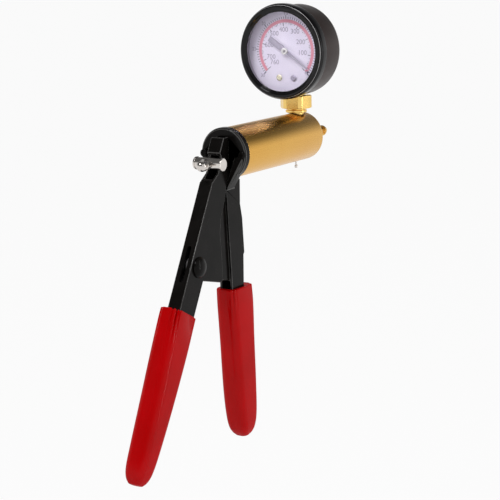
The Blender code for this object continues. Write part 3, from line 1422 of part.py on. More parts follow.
def build_movement(brass, steel, socket):
    """The pressure tube, plates, posts, sector, link and pinion spindle behind the dial."""
    half = PLATE_WIDTH / 2.0
    top = GAUGE_HEIGHT + PLATE_TOP_HEIGHT
    foot = GAUGE_HEIGHT - PLATE_FOOT_DROP
    centre = at(0.0, 0.0, GAUGE_HEIGHT)
    pitch = GEAR_MODULE * PINION_TEETH / 2.0
    sector_pitch = pitch * SECTOR_RATIO
    sector_height = GAUGE_HEIGHT - pitch - sector_pitch
    sector_centre = at(0.0, 0.0, sector_height)
    spindle_hole = SPINDLE_RADIUS + RUNNING_GAP
    axle_hole = SECTOR_AXLE_RADIUS + RUNNING_GAP
    outline = [(-half, foot), (half, foot), (half, top), (-half, top)]
    plates = []
    for name, x in (("movement_front_plate", FRONT_PLATE_X), ("movement_back_plate", BACK_PLATE_X)):
        body = face_plate(name, outline, x, PLATE_THICKNESS, brass)
        cutter = name + "_bearing"
        drill(body, cutter, spindle_hole, x - OVERRUN, x + OVERRUN, centre, FORWARD)
        cutter = name + "_axle_hole"
        drill(body, cutter, axle_hole, x - OVERRUN, x + OVERRUN, sector_centre, FORWARD)
        plates.append(body)
    for name, y in (("dial_screw_left", DIAL_SCREW_SPREAD), ("dial_screw_right", -DIAL_SCREW_SPREAD)):
        place = at(0.0, y, GAUGE_HEIGHT - DIAL_SCREW_DROP)
        radius = DIAL_SCREW_RADIUS + FIT_GAP
        drill(
            plates[0],
            name + "_thread",
            radius,
            FRONT_PLATE_X - OVERRUN,
            FRONT_PLATE_X + OVERRUN,
            place,
            FORWARD,
        )
    for name, y in (("movement_post_left", POST_SPREAD), ("movement_post_right", -POST_SPREAD)):
        start = FRONT_PLATE_X + PLATE_THICKNESS + RUNNING_GAP
        end = BACK_PLATE_X - RUNNING_GAP
        place = at(0.0, y, GAUGE_HEIGHT + POST_RISE)
        rod_shape(name, POST_RADIUS, start, end, place, FORWARD, brass, TINY_STEPS)

    for name, y in (
        ("movement_screw_left", MOVEMENT_SCREW_SPREAD),
        ("movement_screw_right", -MOVEMENT_SCREW_SPREAD),
    ):
        place = at(0.0, y, GAUGE_HEIGHT - MOVEMENT_SCREW_DROP)
        seat = BACK_PLATE_X - RUNNING_GAP
        end = BACK_PLATE_X + MOVEMENT_SCREW_DEPTH
        profile = [
            (0.0, end),
            (MOVEMENT_SCREW_RADIUS, end),
            (MOVEMENT_SCREW_RADIUS, seat),
            (MOVEMENT_SCREW_HEAD_RADIUS, seat),
            (MOVEMENT_SCREW_HEAD_RADIUS, seat - MOVEMENT_SCREW_HEAD_HEIGHT),
            (0.0, seat - MOVEMENT_SCREW_HEAD_HEIGHT),
        ]
        turned(name, profile, place, FORWARD, steel, TINY_STEPS)
        radius = MOVEMENT_SCREW_RADIUS + FIT_GAP
        for body, start in ((plates[1], BACK_PLATE_X - OVERRUN), (socket, BACK_PLATE_X)):
            cutter = f"{name}_hole_in_{body.name}"
            drill(body, cutter, radius, start, end + FIT_GAP, place, FORWARD)

    rest_swing = -POINTER_SWEEP / SECTOR_RATIO / 2.0
    step = math.tau / (PINION_TEETH * SECTOR_RATIO)
    middle = math.radians(90.0)
    count = SECTOR_TEETH
    first = middle - step * (count - 1) / 2.0
    rim = gear_outline(PINION_TEETH * SECTOR_RATIO, count, sector_pitch, (0.0, 0.0), first)
    inner = sector_pitch - 3.0 * GEAR_MODULE * TOOTH_DEDENDUM_SHARE
    edge = step * (count / 2.0)
    arm = SECTOR_HUB / 2.0
    hub = []
    for degrees in (140.0, 180.0, 220.0):
        angle = math.radians(degrees)
        hub.append((SECTOR_HUB * math.cos(angle), SECTOR_HUB * math.sin(angle)))
    hub_right = [(-y, z) for y, z in reversed(hub)]
    sector_outline = (
        rim
        + [(inner * math.cos(middle + edge), inner * math.sin(middle + edge))]
        + [(-arm, inner), (-arm, SECTOR_HUB)]
        + hub
        + [(-arm, -SECTOR_TAIL), (arm, -SECTOR_TAIL)]
        + hub_right
        + [(arm, SECTOR_HUB), (arm, inner)]
        + [(inner * math.cos(middle - edge), inner * math.sin(middle - edge))]
    )
    swung = []
    for y, z in sector_outline:
        across = y * math.cos(rest_swing) - z * math.sin(rest_swing)
        swung.append((across, sector_height + y * math.sin(rest_swing) + z * math.cos(rest_swing)))
    sector = face_plate("sector_gear", swung, SECTOR_X, SECTOR_THICKNESS, brass)
    bore = SECTOR_AXLE_RADIUS + FIT_GAP
    drill(sector, "sector_bore", bore, SECTOR_X - OVERRUN, SECTOR_X + OVERRUN, sector_centre, FORWARD)
    start = FRONT_PLATE_X + FIT_GAP
    end = BACK_PLATE_X + PLATE_THICKNESS - FIT_GAP
    axle = rod_shape("sector_axle", SECTOR_AXLE_RADIUS, start, end, sector_centre, FORWARD, steel, TINY_STEPS)
    hang("sector_carrier", sector_centre, sector, axle)

    tail = (SECTOR_TAIL * math.sin(rest_swing), sector_height - SECTOR_TAIL * math.cos(rest_swing))
    tip = tube_place(TUBE_START + TUBE_TURN)
    far = (tip.y, tip.z - DATUM_Z)
    length = math.hypot(far[0] - tail[0], far[1] - tail[1])
    along = ((far[0] - tail[0]) / length, (far[1] - tail[1]) / length)
    half_link = LINK_WIDTH / 2.0
    link_outline = []
    for end, sign in ((tail, -1.0), (far, 1.0)):
        for side in (-sign, sign):
            y = end[0] + half_link * (sign * along[0] + side * along[1])
            z = end[1] + half_link * (sign * along[1] - side * along[0])
            link_outline.append((y, z))
    face_plate("link", link_outline, LINK_X, LINK_THICKNESS, brass)

    off_mesh = rest_swing - step * round(rest_swing / step)
    pinion_phase = math.radians(-90.0) + math.pi / PINION_TEETH - SECTOR_RATIO * off_mesh
    teeth = gear_outline(PINION_TEETH, PINION_TEETH, pitch, (0.0, GAUGE_HEIGHT), pinion_phase)
    pinion_width = SECTOR_THICKNESS + 2.0 * RUNNING_GAP
    pinion = face_plate("pinion_spindle", teeth, SECTOR_X - RUNNING_GAP, pinion_width, steel)
    heel = BACK_PLATE_X + PLATE_THICKNESS
    nose = POINTER_X - POINTER_HUB_HEIGHT
    join(pinion, rod_shape("spindle", SPINDLE_RADIUS, nose, heel, centre, FORWARD, None, TINY_STEPS))

    places = [tube_place(TUBE_START + TUBE_TURN * i / TUBE_POINTS) for i in range(TUBE_POINTS + 1)]
    tube = tube_along("pressure_tube", places, TUBE_RADIUS, brass)
    half_lug = Vector((0.0, LUG_WIDTH / 2.0, LUG_WIDTH / 2.0))
    lug_front = tip - half_lug
    lug_front.x = DATUM_X + LINK_X + LINK_THICKNESS + FIT_GAP
    join(tube, box("lug", lug_front, tip + half_lug))
    return pinion


def hang(name, origin, *pieces):
    """An empty on a joint's axis that carries the pieces that turn about it."""
    empty = bpy.data.objects.new(name, None)
    PARTS.objects.link(empty)
    empty.location = origin
    bpy.context.view_layer.update()
    for piece in pieces:
        piece.parent = empty
        piece.matrix_parent_inverse = empty.matrix_world.inverted()


def build_pointer(pointer_material, hub_material):
    """The pointer, aimed at the scale's zero, and the white hub pressed on over it."""
    direction = (-math.cos(POINTER_REST), math.sin(POINTER_REST))
    side = (-direction[1], direction[0])

    def place(along, across):
        return (
            along * direction[0] + across * side[0],
            GAUGE_HEIGHT + along * direction[1] + across * side[1],
        )

    tip = POINTER_WIDTH / 6.0
    wide = POINTER_TAIL_WIDTH / 2.0
    slim = POINTER_WIDTH / 2.0
    outline = [
        place(POINTER_LENGTH, -tip),
        place(POINTER_LENGTH, tip),
        place(0.0, slim),
        place(-POINTER_STEP_SHARE * POINTER_TAIL, wide),
        place(-POINTER_TAIL, wide),
        place(-POINTER_TAIL, -wide),
        place(-POINTER_STEP_SHARE * POINTER_TAIL, -wide),
        place(0.0, -slim),
    ]
    pointer = face_plate("pointer", outline, POINTER_X, POINTER_THICKNESS, pointer_material)
    centre = at(0.0, 0.0, GAUGE_HEIGHT)
    hole = SPINDLE_RADIUS + RUNNING_GAP
    rear = POINTER_X + POINTER_THICKNESS + OVERRUN
    drill(pointer, "pointer_hole", hole, POINTER_X - OVERRUN, rear, centre, FORWARD)
    hub_rear = POINTER_X - RUNNING_GAP
    hub_front = hub_rear - POINTER_HUB_HEIGHT
    edge = POINTER_HUB_HEIGHT / 4.0
    profile = [
        (POINTER_HUB_RADIUS - edge, hub_front),
        (POINTER_HUB_RADIUS, hub_front + edge),
        (POINTER_HUB_RADIUS, hub_rear),
        (hole, hub_rear),
        (hole, hub_front),
    ]
    hub = turned("pointer_hub", profile, centre, FORWARD, hub_material, SMALL_STEPS)
    return pointer, hub


for leftover in list(bpy.data.objects):
    bpy.data.objects.remove(leftover)

PARTS = new_collection("hand_vacuum_pump")
CUTTERS = new_collection("cutters")


def main():
    black = make_material("black_paint", (0.012, 0.011, 0.012), 0.28)
    gloss_black = make_material("gauge_black", (0.010, 0.010, 0.011), 0.16)
    gold = make_material("gold_anodised", (0.62, 0.36, 0.08), 0.26, 1.0)
    brass = make_material("brass", (0.78, 0.52, 0.20), 0.30, 1.0)
    chrome = make_material("bright_steel", (0.72, 0.70, 0.68), 0.14, 1.0)
    steel = make_material("zinc_steel", (0.52, 0.52, 0.53), 0.38, 1.0)
    spring_steel = make_material("spring_steel", (0.35, 0.35, 0.36), 0.35, 1.0)
    vinyl = make_material("red_vinyl", (0.46, 0.004, 0.008), 0.30)
    rubber = make_material("black_rubber", (0.02, 0.02, 0.02), 0.7)
    white_plastic = make_material("white_plastic", (0.75, 0.75, 0.73), 0.5)
    alloy = make_material("piston_alloy", (0.70, 0.71, 0.72), 0.35, 1.0)
    dial_white = make_material("dial_enamel", (0.80, 0.77, 0.84), 0.4)
    pointer_grey = make_material("pointer_grey", (0.16, 0.16, 0.18), 0.4)
    glass = make_material("lens_glass", (0.9, 0.92, 0.95), 0.05, 0.0, 0.25)

    build_handle_frame(black)
    build_head_screws(black)
    lever = build_lever(black)
    build_pivot(black, steel)
    lever_grip = build_grips(vinyl)
    hang("lever_carrier", on_lever(0.0, 0.0), lever, lever_grip)
    build_cylinder(gold)
    build_rod(chrome, chrome)
    build_piston(alloy, rubber, steel, white_plastic)
    build_springs(spring_steel)
    build_front_plug(brass, rubber, steel)
    build_nozzle(brass, rubber)
    build_release_valve(steel, rubber)
    socket = build_gauge_socket(brass, rubber)
    build_gauge_case(gloss_black, gloss_black, glass, white_plastic)
    build_dial(dial_white, steel, brass)
    pinion = build_movement(brass, steel, socket)
    pointer, hub = build_pointer(pointer_grey, white_plastic)
    hang("pointer_carrier", at(0.0, 0.0, GAUGE_HEIGHT), pinion, pointer, hub)


main()
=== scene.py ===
"""The look of the hand vacuum pump: finely shaped pieces, finishes, studio light and the camera.

Metres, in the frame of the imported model: +X runs along the cylinder to the nozzle, +Y is the holder's
left, and +Z is up. Sizes come from the model's own pieces wherever they can.
"""

import math

import bmesh
import bpy
from mathutils import Matrix, Vector


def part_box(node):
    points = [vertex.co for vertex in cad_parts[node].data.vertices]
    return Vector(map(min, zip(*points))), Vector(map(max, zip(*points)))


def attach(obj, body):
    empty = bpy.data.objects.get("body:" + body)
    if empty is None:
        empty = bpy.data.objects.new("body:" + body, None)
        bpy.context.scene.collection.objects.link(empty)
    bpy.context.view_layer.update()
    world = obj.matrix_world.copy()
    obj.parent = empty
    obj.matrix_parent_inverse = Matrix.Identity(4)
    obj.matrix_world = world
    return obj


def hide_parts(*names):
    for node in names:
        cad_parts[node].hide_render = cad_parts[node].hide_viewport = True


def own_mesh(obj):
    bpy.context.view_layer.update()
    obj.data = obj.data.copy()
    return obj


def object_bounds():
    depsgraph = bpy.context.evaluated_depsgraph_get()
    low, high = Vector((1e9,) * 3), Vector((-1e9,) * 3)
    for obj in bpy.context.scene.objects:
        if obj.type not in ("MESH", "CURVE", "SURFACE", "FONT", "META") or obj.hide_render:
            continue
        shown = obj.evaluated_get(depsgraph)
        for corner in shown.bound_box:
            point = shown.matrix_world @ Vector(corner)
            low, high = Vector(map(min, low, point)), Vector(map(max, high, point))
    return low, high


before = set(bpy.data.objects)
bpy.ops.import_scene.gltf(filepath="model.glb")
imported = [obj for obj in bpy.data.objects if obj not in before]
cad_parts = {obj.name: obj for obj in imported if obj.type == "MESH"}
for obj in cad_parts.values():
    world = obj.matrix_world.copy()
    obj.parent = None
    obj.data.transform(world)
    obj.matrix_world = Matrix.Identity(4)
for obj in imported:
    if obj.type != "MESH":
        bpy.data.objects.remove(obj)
model_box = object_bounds()

FORWARD = Vector((1.0, 0.0, 0.0))
LEFT = Vector((0.0, 1.0, 0.0))
UP = Vector((0.0, 0.0, 1.0))

# Faceting and edges
ROUND_STEPS = 192
FINE_STEPS = 128
BAR_STEPS = 96
SMALL_STEPS = 64
BORE_STEPS = 48
THIN_STEPS = 32
HOLE_STEPS = 24
FILLET_STEPS = 4
FILLET_REACH_SHARE = 0.49
WELD = 0.00001
FLAT_ANGLE = math.radians(1.0)
CREASE_ANGLE = math.radians(28.0)
METAL_ANGLE = math.radians(30.0)
SMOOTH_ANGLE = math.radians(40.0)
SOFT_ANGLE = math.radians(60.0)
QUARTER_TURN = math.radians(90.0)
SHEET_EDGE = 0.00036
SLOT_CLEAR = 0.0016
SHORT_EDGE = 0.0009
CHAMFER_DROP_SHARE = 0.55

# Roundings of turned edges
HAIR_ROUND = 0.0001
THIN_ROUND = 0.0002
FINE_ROUND = 0.0003
EASY_ROUND = 0.0004
CROWN_ROUND = 0.0005
SOFT_ROUND = 0.0006

# Clearances
FIT_GAP = 0.0003
SEAT_GAP = 0.0002


def new_object(name, mesh):
    obj = bpy.data.objects.new(name, mesh)
    bpy.context.scene.collection.objects.link(obj)
    return obj


def smooth(obj, angle=SMOOTH_ANGLE):
    obj.data.shade_smooth()
    obj.data.set_sharp_from_angle(angle=angle)
    return obj


def bake_shape(obj):
    """Turns an object's modifiers or curve into a plain mesh at the origin, with its place in the mesh."""
    bpy.context.view_layer.update()
    graph = bpy.context.evaluated_depsgraph_get()
    mesh = bpy.data.meshes.new_from_object(obj.evaluated_get(graph))
    mesh.transform(obj.matrix_world)
    name = obj.name
    obj.name = name + "_source"
    bpy.data.objects.remove(obj)
    mesh.name = name
    return new_object(name, mesh)


def mesh_object(name, work):
    """A new object from a finished bmesh, with its faces pointing outwards."""
    bmesh.ops.recalc_face_normals(work, faces=work.faces)
    mesh = bpy.data.meshes.new(name)
    work.to_mesh(mesh)
    work.free()
    return new_object(name, mesh)


def combine(target, other, operation):
    """Applies a Boolean of another object to a target, and removes the other."""
    modifier = target.modifiers.new("shape", "BOOLEAN")
    modifier.operation = operation
    modifier.solver = "EXACT"
    modifier.object = other
    target = bake_shape(target)
    bpy.data.objects.remove(other)
    return target


def fillet(profile):
    """Plain (radius, along) places from (radius, along, rounding) corners, with the corners rounded."""
    places = []
    for i, (radius, along, rounding) in enumerate(profile):
        if rounding == 0.0:
            places.append((radius, along))
            continue
        here = Vector((radius, along))
        before = Vector(profile[i - 1][:2]) - here
        after = Vector(profile[(i + 1) % len(profile)][:2]) - here
        room = FILLET_REACH_SHARE * min(before.length, after.length)
        reach = min(rounding / math.tan(before.angle(after) / 2.0), room)
        start = here + before.normalized() * reach
        end = here + after.normalized() * reach
        for step in range(FILLET_STEPS + 1):
            t = step / FILLET_STEPS
            bend = start * (1.0 - t) ** 2 + here * (2.0 * t * (1.0 - t)) + end * t**2
            places.append((bend.x, bend.y))
    return places


def turned(name, profile, origin, axis, steps=FINE_STEPS):
    """A turned piece from (radius, along, rounding) corners, open at the axis or a closed ring."""
    side = axis.orthogonal().normalized()
    other = axis.cross(side)
    work = bmesh.new()
    rings = []
    for radius, along in fillet(profile):
        centre = origin + axis * along
        if radius <= 0.0:
            rings.append([work.verts.new(centre)])
            continue
        circle = []
        for i in range(steps):
            angle = math.tau * i / steps
            reach = side * math.cos(angle) + other * math.sin(angle)
            circle.append(work.verts.new(centre + reach * radius))
        rings.append(circle)
    pairs = list(zip(rings, rings[1:]))
    if len(rings[0]) > 1:
        pairs.append((rings[-1], rings[0]))
    for lower, upper in pairs:
        for i in range(steps):
            j = (i + 1) % steps
            if len(lower) == 1:
                work.faces.new((lower[0], upper[i], upper[j]))
            elif len(upper) == 1:
                work.faces.new((lower[i], lower[j], upper[0]))
            else:
                work.faces.new((lower[i], lower[j], upper[j], upper[i]))
    return smooth(mesh_object(name, work))


def dome(radius, seat, height, steps):
    """A turned dome's corners from its rim to its crown; a negative height turns it backwards."""
    corners = []
    for i in range(steps):
        angle = QUARTER_TURN * i / steps
        corners.append((radius * math.cos(angle), seat + height * math.sin(angle), 0.0))
    corners.append((0.0, seat + height, 0.0))
    return corners


def bar(name, radius, start, end, origin, axis, steps, rounding=0.0):
    """A plain round bar or disc between two distances along an axis."""
    profile = [(0.0, start, 0.0), (radius, start, rounding), (radius, end, rounding), (0.0, end, 0.0)]
    return turned(name, profile, origin, axis, steps)


def ring(name, outer, inner, start, end, rounding, origin, axis, steps):
    """A plain ring between two distances along an axis, with its outer edges rounded."""
    profile = [(outer, end, rounding), (outer, start, rounding), (inner, start, 0.0), (inner, end, 0.0)]
    return turned(name, profile, origin, axis, steps)


def drill(piece, radius, start, end, origin, axis, steps=BORE_STEPS):
    """Cuts a round hole between two distances along an axis."""
    return combine(piece, bar("drill", radius, start, end, origin, axis, steps), "DIFFERENCE")


def hexagon(name, corner_radius, start, end, origin, axis, chamfer, turn=0.0):
    """A hexagonal bar along an axis, with its corners turned off at both ends."""
    work = bmesh.new()
    bmesh.ops.create_cone(
        work, cap_ends=True, segments=6, radius1=corner_radius, radius2=corner_radius, depth=end - start
    )
    place = Matrix.Translation(origin + axis * (start + end) / 2.0)
    aim = UP.rotation_difference(axis).to_matrix().to_4x4()
    bmesh.ops.transform(work, matrix=place @ aim @ Matrix.Rotation(turn, 4, "Z"), verts=work.verts)
    bar = mesh_object(name, work)
    flat = corner_radius * math.cos(math.pi / 6.0)
    drop = chamfer * CHAMFER_DROP_SHARE
    barrel = [
        (0.0, end, 0.0),
        (flat, end, 0.0),
        (flat + chamfer, end - drop, 0.0),
        (flat + chamfer, start + drop, 0.0),
        (flat, start, 0.0),
        (0.0, start, 0.0),
    ]
    return combine(bar, turned(name + "_barrel", barrel, origin, axis), "INTERSECT")


def block(name, low, high):
    work = bmesh.new()
    bmesh.ops.create_cube(work, size=1.0)
    bmesh.ops.scale(work, vec=high - low, verts=work.verts)
    bmesh.ops.translate(work, vec=(low + high) / 2.0, verts=work.verts)
    return mesh_object(name, work)


def slab(name, outline, half_width):
    """A flat outline of places on the middle plane, drawn out to both sides."""
    work = bmesh.new()
    right = [work.verts.new(place + LEFT * -half_width) for place in outline]
    left = [work.verts.new(place + LEFT * half_width) for place in outline]
    work.faces.new(right)
    work.faces.new(left)
    for i in range(len(outline)):
        j = (i + 1) % len(outline)
        work.faces.new((right[i], right[j], left[j], left[i]))
    return mesh_object(name, work)


def eased_copy(node, name, width, materials, segments=3):
    """A copy of one of the model's pieces, welded, with whole flat faces and rounded outer edges.

    The rounded edges use the second material, where there is one. Edges near the middle plane, such as
    a slot's, and very short ones stay as they are."""
    work = bmesh.new()
    work.from_mesh(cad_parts[node].data)
    bmesh.ops.remove_doubles(work, verts=work.verts, dist=WELD)
    bmesh.ops.dissolve_limit(
        work, angle_limit=FLAT_ANGLE, use_dissolve_boundaries=False, verts=work.verts, edges=work.edges
    )
    bmesh.ops.recalc_face_normals(work, faces=work.faces)
    weight = work.edges.layers.float.new("bevel_weight_edge")
    for edge in work.edges:
        near_middle = all(abs(vert.co.y) < SLOT_CLEAR for vert in edge.verts)
        sharp = len(edge.link_faces) == 2 and edge.calc_face_angle() > CREASE_ANGLE
        edge.smooth = not sharp
        if sharp and not near_middle and edge.calc_length() > SHORT_EDGE:
            edge[weight] = 1.0
    mesh = bpy.data.meshes.new(name)
    work.to_mesh(mesh)
    work.free()
    for face in mesh.polygons:
        face.use_smooth = True
    for material in materials:
        mesh.materials.append(material)
    obj = new_object(name, mesh)
    bevel = obj.modifiers.new("eased edges", "BEVEL")
    bevel.limit_method = "WEIGHT"
    bevel.width = width
    bevel.segments = segments
    bevel.use_clamp_overlap = False
    bevel.harden_normals = True
    # The rounded edges take the second material, which on the handle and lever is a painted highlight
    bevel.material = 1
    return bake_shape(obj)


def node_middle(node):
    low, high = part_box(node)
    return (low + high) / 2.0


def upright_axis(node):
    """The foot, at no height, of the upright line through a piece's middle."""
    middle = node_middle(node)
    return Vector((middle.x, middle.y, 0.0))


def lengthwise_axis(node):
    """The start, at X 0, of the line through a piece's middle that runs along the cylinder."""
    middle = node_middle(node)
    return Vector((0.0, middle.y, middle.z))


def dress(obj, body, node, slot, *materials):
    """Puts a finished piece on its body, in place of the model's own piece, with its finish.

    Where there is more than one finish, each face keeps the one it was given."""
    chosen = [face.material_index for face in obj.data.polygons]
    obj.data.materials.clear()
    for material in materials:
        obj.data.materials.append(material)
    for face, index in zip(obj.data.polygons, chosen):
        face.material_index = index if len(materials) > 1 else 0
    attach(obj, body)
    if node:
        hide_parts(node)
    return obj


# Finishes


def add_node(tree, kind, inputs=None, **settings):
    """A node with its settings, and with its inputs given as values or as the sockets that feed them."""
    node = tree.nodes.new(kind)
    for label, value in settings.items():
        setattr(node, label, value)
    for label, value in (inputs or {}).items():
        if isinstance(value, bpy.types.NodeSocket):
            tree.links.new(value, node.inputs[label])
        else:
            node.inputs[label].default_value = value
    return node


def new_group(name, inputs, outputs):
    """A shader node group with named sockets, and its input and output nodes."""
    tree = bpy.data.node_groups.new(name, "ShaderNodeTree")
    for label, kind, value in inputs:
        socket = tree.interface.new_socket(label, in_out="INPUT", socket_type=kind)
        socket.default_value = value
    for label, kind in outputs:
        tree.interface.new_socket(label, in_out="OUTPUT", socket_type=kind)
    return tree, tree.nodes.new("NodeGroupInput"), tree.nodes.new("NodeGroupOutput")


def stretched_place(tree, stretch):
    """Object coordinates, stretched along each axis."""
    place = add_node(tree, "ShaderNodeTexCoord").outputs["Object"]
    moved = add_node(tree, "ShaderNodeVectorMath", {0: place, 1: stretch}, operation="MULTIPLY")
    return moved.outputs["Vector"]


def build_grain():
    """Fine noise between two values; the stretch sets its size, and its direction on worked metal."""
    tree, given, out = new_group(
        "grain",
        [
            ("Stretch", "NodeSocketVector", (1000.0, 1000.0, 1000.0)),
            ("Low", "NodeSocketFloat", 0.0),
            ("High", "NodeSocketFloat", 1.0),
        ],
        [("Value", "NodeSocketFloat")],
    )
    place = stretched_place(tree, given.outputs["Stretch"])
    noise = add_node(tree, "ShaderNodeTexNoise", {"Vector": place, "Scale": 1.0, "Detail": 3.0})
    spread = add_node(
        tree,
        "ShaderNodeMapRange",
        {
            "Value": noise.outputs["Fac"],
            "From Min": 0.25,
            "From Max": 0.75,
            "To Min": given.outputs["Low"],
            "To Max": given.outputs["High"],
        },
    )
    tree.links.new(spread.outputs["Result"], out.inputs["Value"])
    return tree


def build_mottling():
    """A colour that drifts into a second one in soft patches, with small rubbed marks of a third."""
    tree, given, out = new_group(
        "mottling",
        [
            ("Main", "NodeSocketColor", (0.5, 0.5, 0.5, 1.0)),
            ("Drift", "NodeSocketColor", (0.4, 0.4, 0.4, 1.0)),
            ("Rubbed", "NodeSocketColor", (0.6, 0.6, 0.6, 1.0)),
            ("Patch Stretch", "NodeSocketVector", (90.0, 90.0, 90.0)),
            ("Rub Stretch", "NodeSocketVector", (400.0, 400.0, 400.0)),
            ("Rub Cover", "NodeSocketFloat", 0.12),
        ],
        [("Color", "NodeSocketColor")],
    )
    place = stretched_place(tree, given.outputs["Patch Stretch"])
    patches = add_node(tree, "ShaderNodeTexNoise", {"Vector": place, "Scale": 1.0, "Detail": 2.0})
    patch_mask = add_node(
        tree, "ShaderNodeMapRange", {"Value": patches.outputs["Fac"], "From Min": 0.35, "From Max": 0.65}
    )
    place = stretched_place(tree, given.outputs["Rub Stretch"])
    rubs = add_node(
        tree, "ShaderNodeTexNoise", {"Vector": place, "Scale": 1.0, "Detail": 5.0, "Roughness": 0.65}
    )
    rub_mask = add_node(
        tree, "ShaderNodeMapRange", {"Value": rubs.outputs["Fac"], "From Min": 0.56, "From Max": 0.74}
    )
    rub_amount = add_node(
        tree,
        "ShaderNodeMath",
        {0: rub_mask.outputs["Result"], 1: given.outputs["Rub Cover"]},
        operation="MULTIPLY",
    )
    drifted = add_node(
        tree,
        "ShaderNodeMix",
        {"Factor": patch_mask.outputs["Result"], "A": given.outputs["Main"], "B": given.outputs["Drift"]},
        data_type="RGBA",
    )
    rubbed = add_node(
        tree,
        "ShaderNodeMix",
        {"Factor": rub_amount.outputs["Value"], "A": drifted.outputs["Result"], "B": given.outputs["Rubbed"]},
        data_type="RGBA",
    )
    tree.links.new(rubbed.outputs["Result"], out.inputs["Color"])
    return tree


GRAIN = build_grain()
MOTTLING = build_mottling()


def three(size):
    """A stretch along each axis, from one number or from three."""
    return size if isinstance(size, tuple) else (size, size, size)


def finish(
    name,
    main,
    drift,
    rubbed,
    roughness,
    patch=90.0,
    rub=400.0,
    cover=0.12,
    grain=1200.0,
    rough_grain_share=0.35,
    bump=0.00001,
    strength=0.4,
    **plain,
):
    """A procedural finish: drifting colour with rubbed marks, varied roughness and a fine grain in relief."""
    material = bpy.data.materials.new(name)
    material.use_nodes = True
    tree = material.node_tree
    shader = tree.nodes["Principled BSDF"]
    colour = add_node(
        tree,
        "ShaderNodeGroup",
        {
            "Main": (*main, 1.0),
            "Drift": (*drift, 1.0),
            "Rubbed": (*rubbed, 1.0),
            "Patch Stretch": three(patch),
            "Rub Stretch": three(rub),
            "Rub Cover": cover,
        },
        node_tree=MOTTLING,
    )
    rough_stretch = tuple(rough_grain_share * stretch for stretch in three(grain))
    rough = add_node(
        tree,
        "ShaderNodeGroup",
        {"Stretch": rough_stretch, "Low": roughness[0], "High": roughness[1]},
        node_tree=GRAIN,
    )
    relief = add_node(
        tree, "ShaderNodeGroup", {"Stretch": three(grain), "Low": 0.0, "High": 1.0}, node_tree=GRAIN
    )
    raised = add_node(
        tree, "ShaderNodeBump", {"Strength": strength, "Distance": bump, "Height": relief.outputs["Value"]}
    )
    tree.links.new(colour.outputs["Color"], shader.inputs["Base Color"])
    tree.links.new(rough.outputs["Value"], shader.inputs["Roughness"])
    tree.links.new(raised.outputs["Normal"], shader.inputs["Normal"])
    for label, value in plain.items():
        shader.inputs[label.replace("_", " ")].default_value = value
    return material


def mixed_shaders(tree, share, first, second):
    """The first shader, with a share of the second."""
    return add_node(tree, "ShaderNodeMixShader", {"Fac": share, 1: first, 2: second}).outputs["Shader"]


def let_shadows_through(material):
    """Makes a clear finish pass the light of the lamps."""
    tree = material.node_tree
    shadow = add_node(tree, "ShaderNodeLightPath").outputs["Is Shadow Ray"]
    glass = tree.nodes["Principled BSDF"].outputs["BSDF"]
    clear = add_node(tree, "ShaderNodeBsdfTransparent").outputs["BSDF"]
    surface = tree.nodes["Material Output"].inputs["Surface"]
    tree.links.new(mixed_shaders(tree, shadow, glass, clear), surface)


# Each call gives a name, the main, drifting and rubbed colours, and the range of the roughness
black_paint = finish(
    "black_paint", (0.005, 0.0045, 0.004), (0.008, 0.007, 0.0065), (0.018, 0.016, 0.015), (0.14, 0.24),
    cover=0.25, grain=500.0, bump=0.000008, strength=0.25, Specular_IOR_Level=0.08,
)
# Painted highlight: a lighter grey for the rounded sheet edges, standing in for the lamps' reflection along
# them
edge_painted_highlight = finish(
    "edge_painted_highlight", (0.075, 0.072, 0.068), (0.030, 0.029, 0.027), (0.16, 0.155, 0.15), (0.18, 0.30),
    patch=60.0, cover=0.40, grain=500.0, bump=0.000006, strength=0.25, Specular_IOR_Level=0.5,
)
# Painted highlight: a light grey band for the outer slope of the bezel's roll, standing in for the reflection
# that runs round it
roll_painted_highlight = finish(
    "roll_painted_highlight", (0.66, 0.65, 0.66), (0.34, 0.335, 0.34), (0.80, 0.79, 0.80), (0.10, 0.20),
    patch=45.0, cover=0.40, grain=300.0, bump=0.000004, strength=0.2, Specular_IOR_Level=0.5,
)
case_black = finish(
    "case_black", (0.017, 0.0115, 0.0105), (0.024, 0.0165, 0.015), (0.044, 0.034, 0.031), (0.30, 0.42),
    cover=0.30, grain=400.0, bump=0.000006, strength=0.25,
    Specular_IOR_Level=0.28, Specular_Tint=(1.0, 0.74, 0.70, 1.0),
)
gauge_black = finish(
    "gauge_black", (0.004, 0.004, 0.005), (0.006, 0.0055, 0.006), (0.016, 0.014, 0.015), (0.05, 0.11),
    cover=0.15, grain=300.0, bump=0.000004, strength=0.2, Specular_IOR_Level=0.24,
)
gold_anodised = finish(
    "gold_anodised", (0.72, 0.41, 0.095), (0.70, 0.385, 0.085), (0.78, 0.47, 0.13), (0.24, 0.31),
    patch=40.0, rub=(60.0, 300.0, 300.0), cover=0.15, grain=(50.0, 1300.0, 1300.0),
    bump=0.000001, strength=0.1, Metallic=1.0,
)
brass = finish(
    "brass", (0.88, 0.61, 0.20), (0.82, 0.54, 0.16), (0.95, 0.74, 0.34), (0.14, 0.24),
    cover=0.25, grain=(400.0, 400.0, 2500.0), bump=0.000003, strength=0.25, Metallic=1.0,
)
turned_brass = finish(
    "turned_brass", (0.80, 0.51, 0.16), (0.70, 0.42, 0.12), (0.90, 0.66, 0.28), (0.16, 0.30),
    cover=0.30, grain=(3000.0, 200.0, 200.0), bump=0.000004, strength=0.3, Metallic=1.0,
)
pale_brass = finish(
    "pale_brass", (0.78, 0.74, 0.56), (0.68, 0.64, 0.47), (0.88, 0.86, 0.74), (0.20, 0.34),
    rub=900.0, cover=0.30, bump=0.000004, strength=0.3, Metallic=0.7,
)
grey_zinc = finish(
    "grey_zinc", (0.52, 0.47, 0.58), (0.44, 0.40, 0.50), (0.66, 0.62, 0.72), (0.24, 0.38),
    rub=900.0, cover=0.30, bump=0.000004, strength=0.3, Metallic=0.7,
)
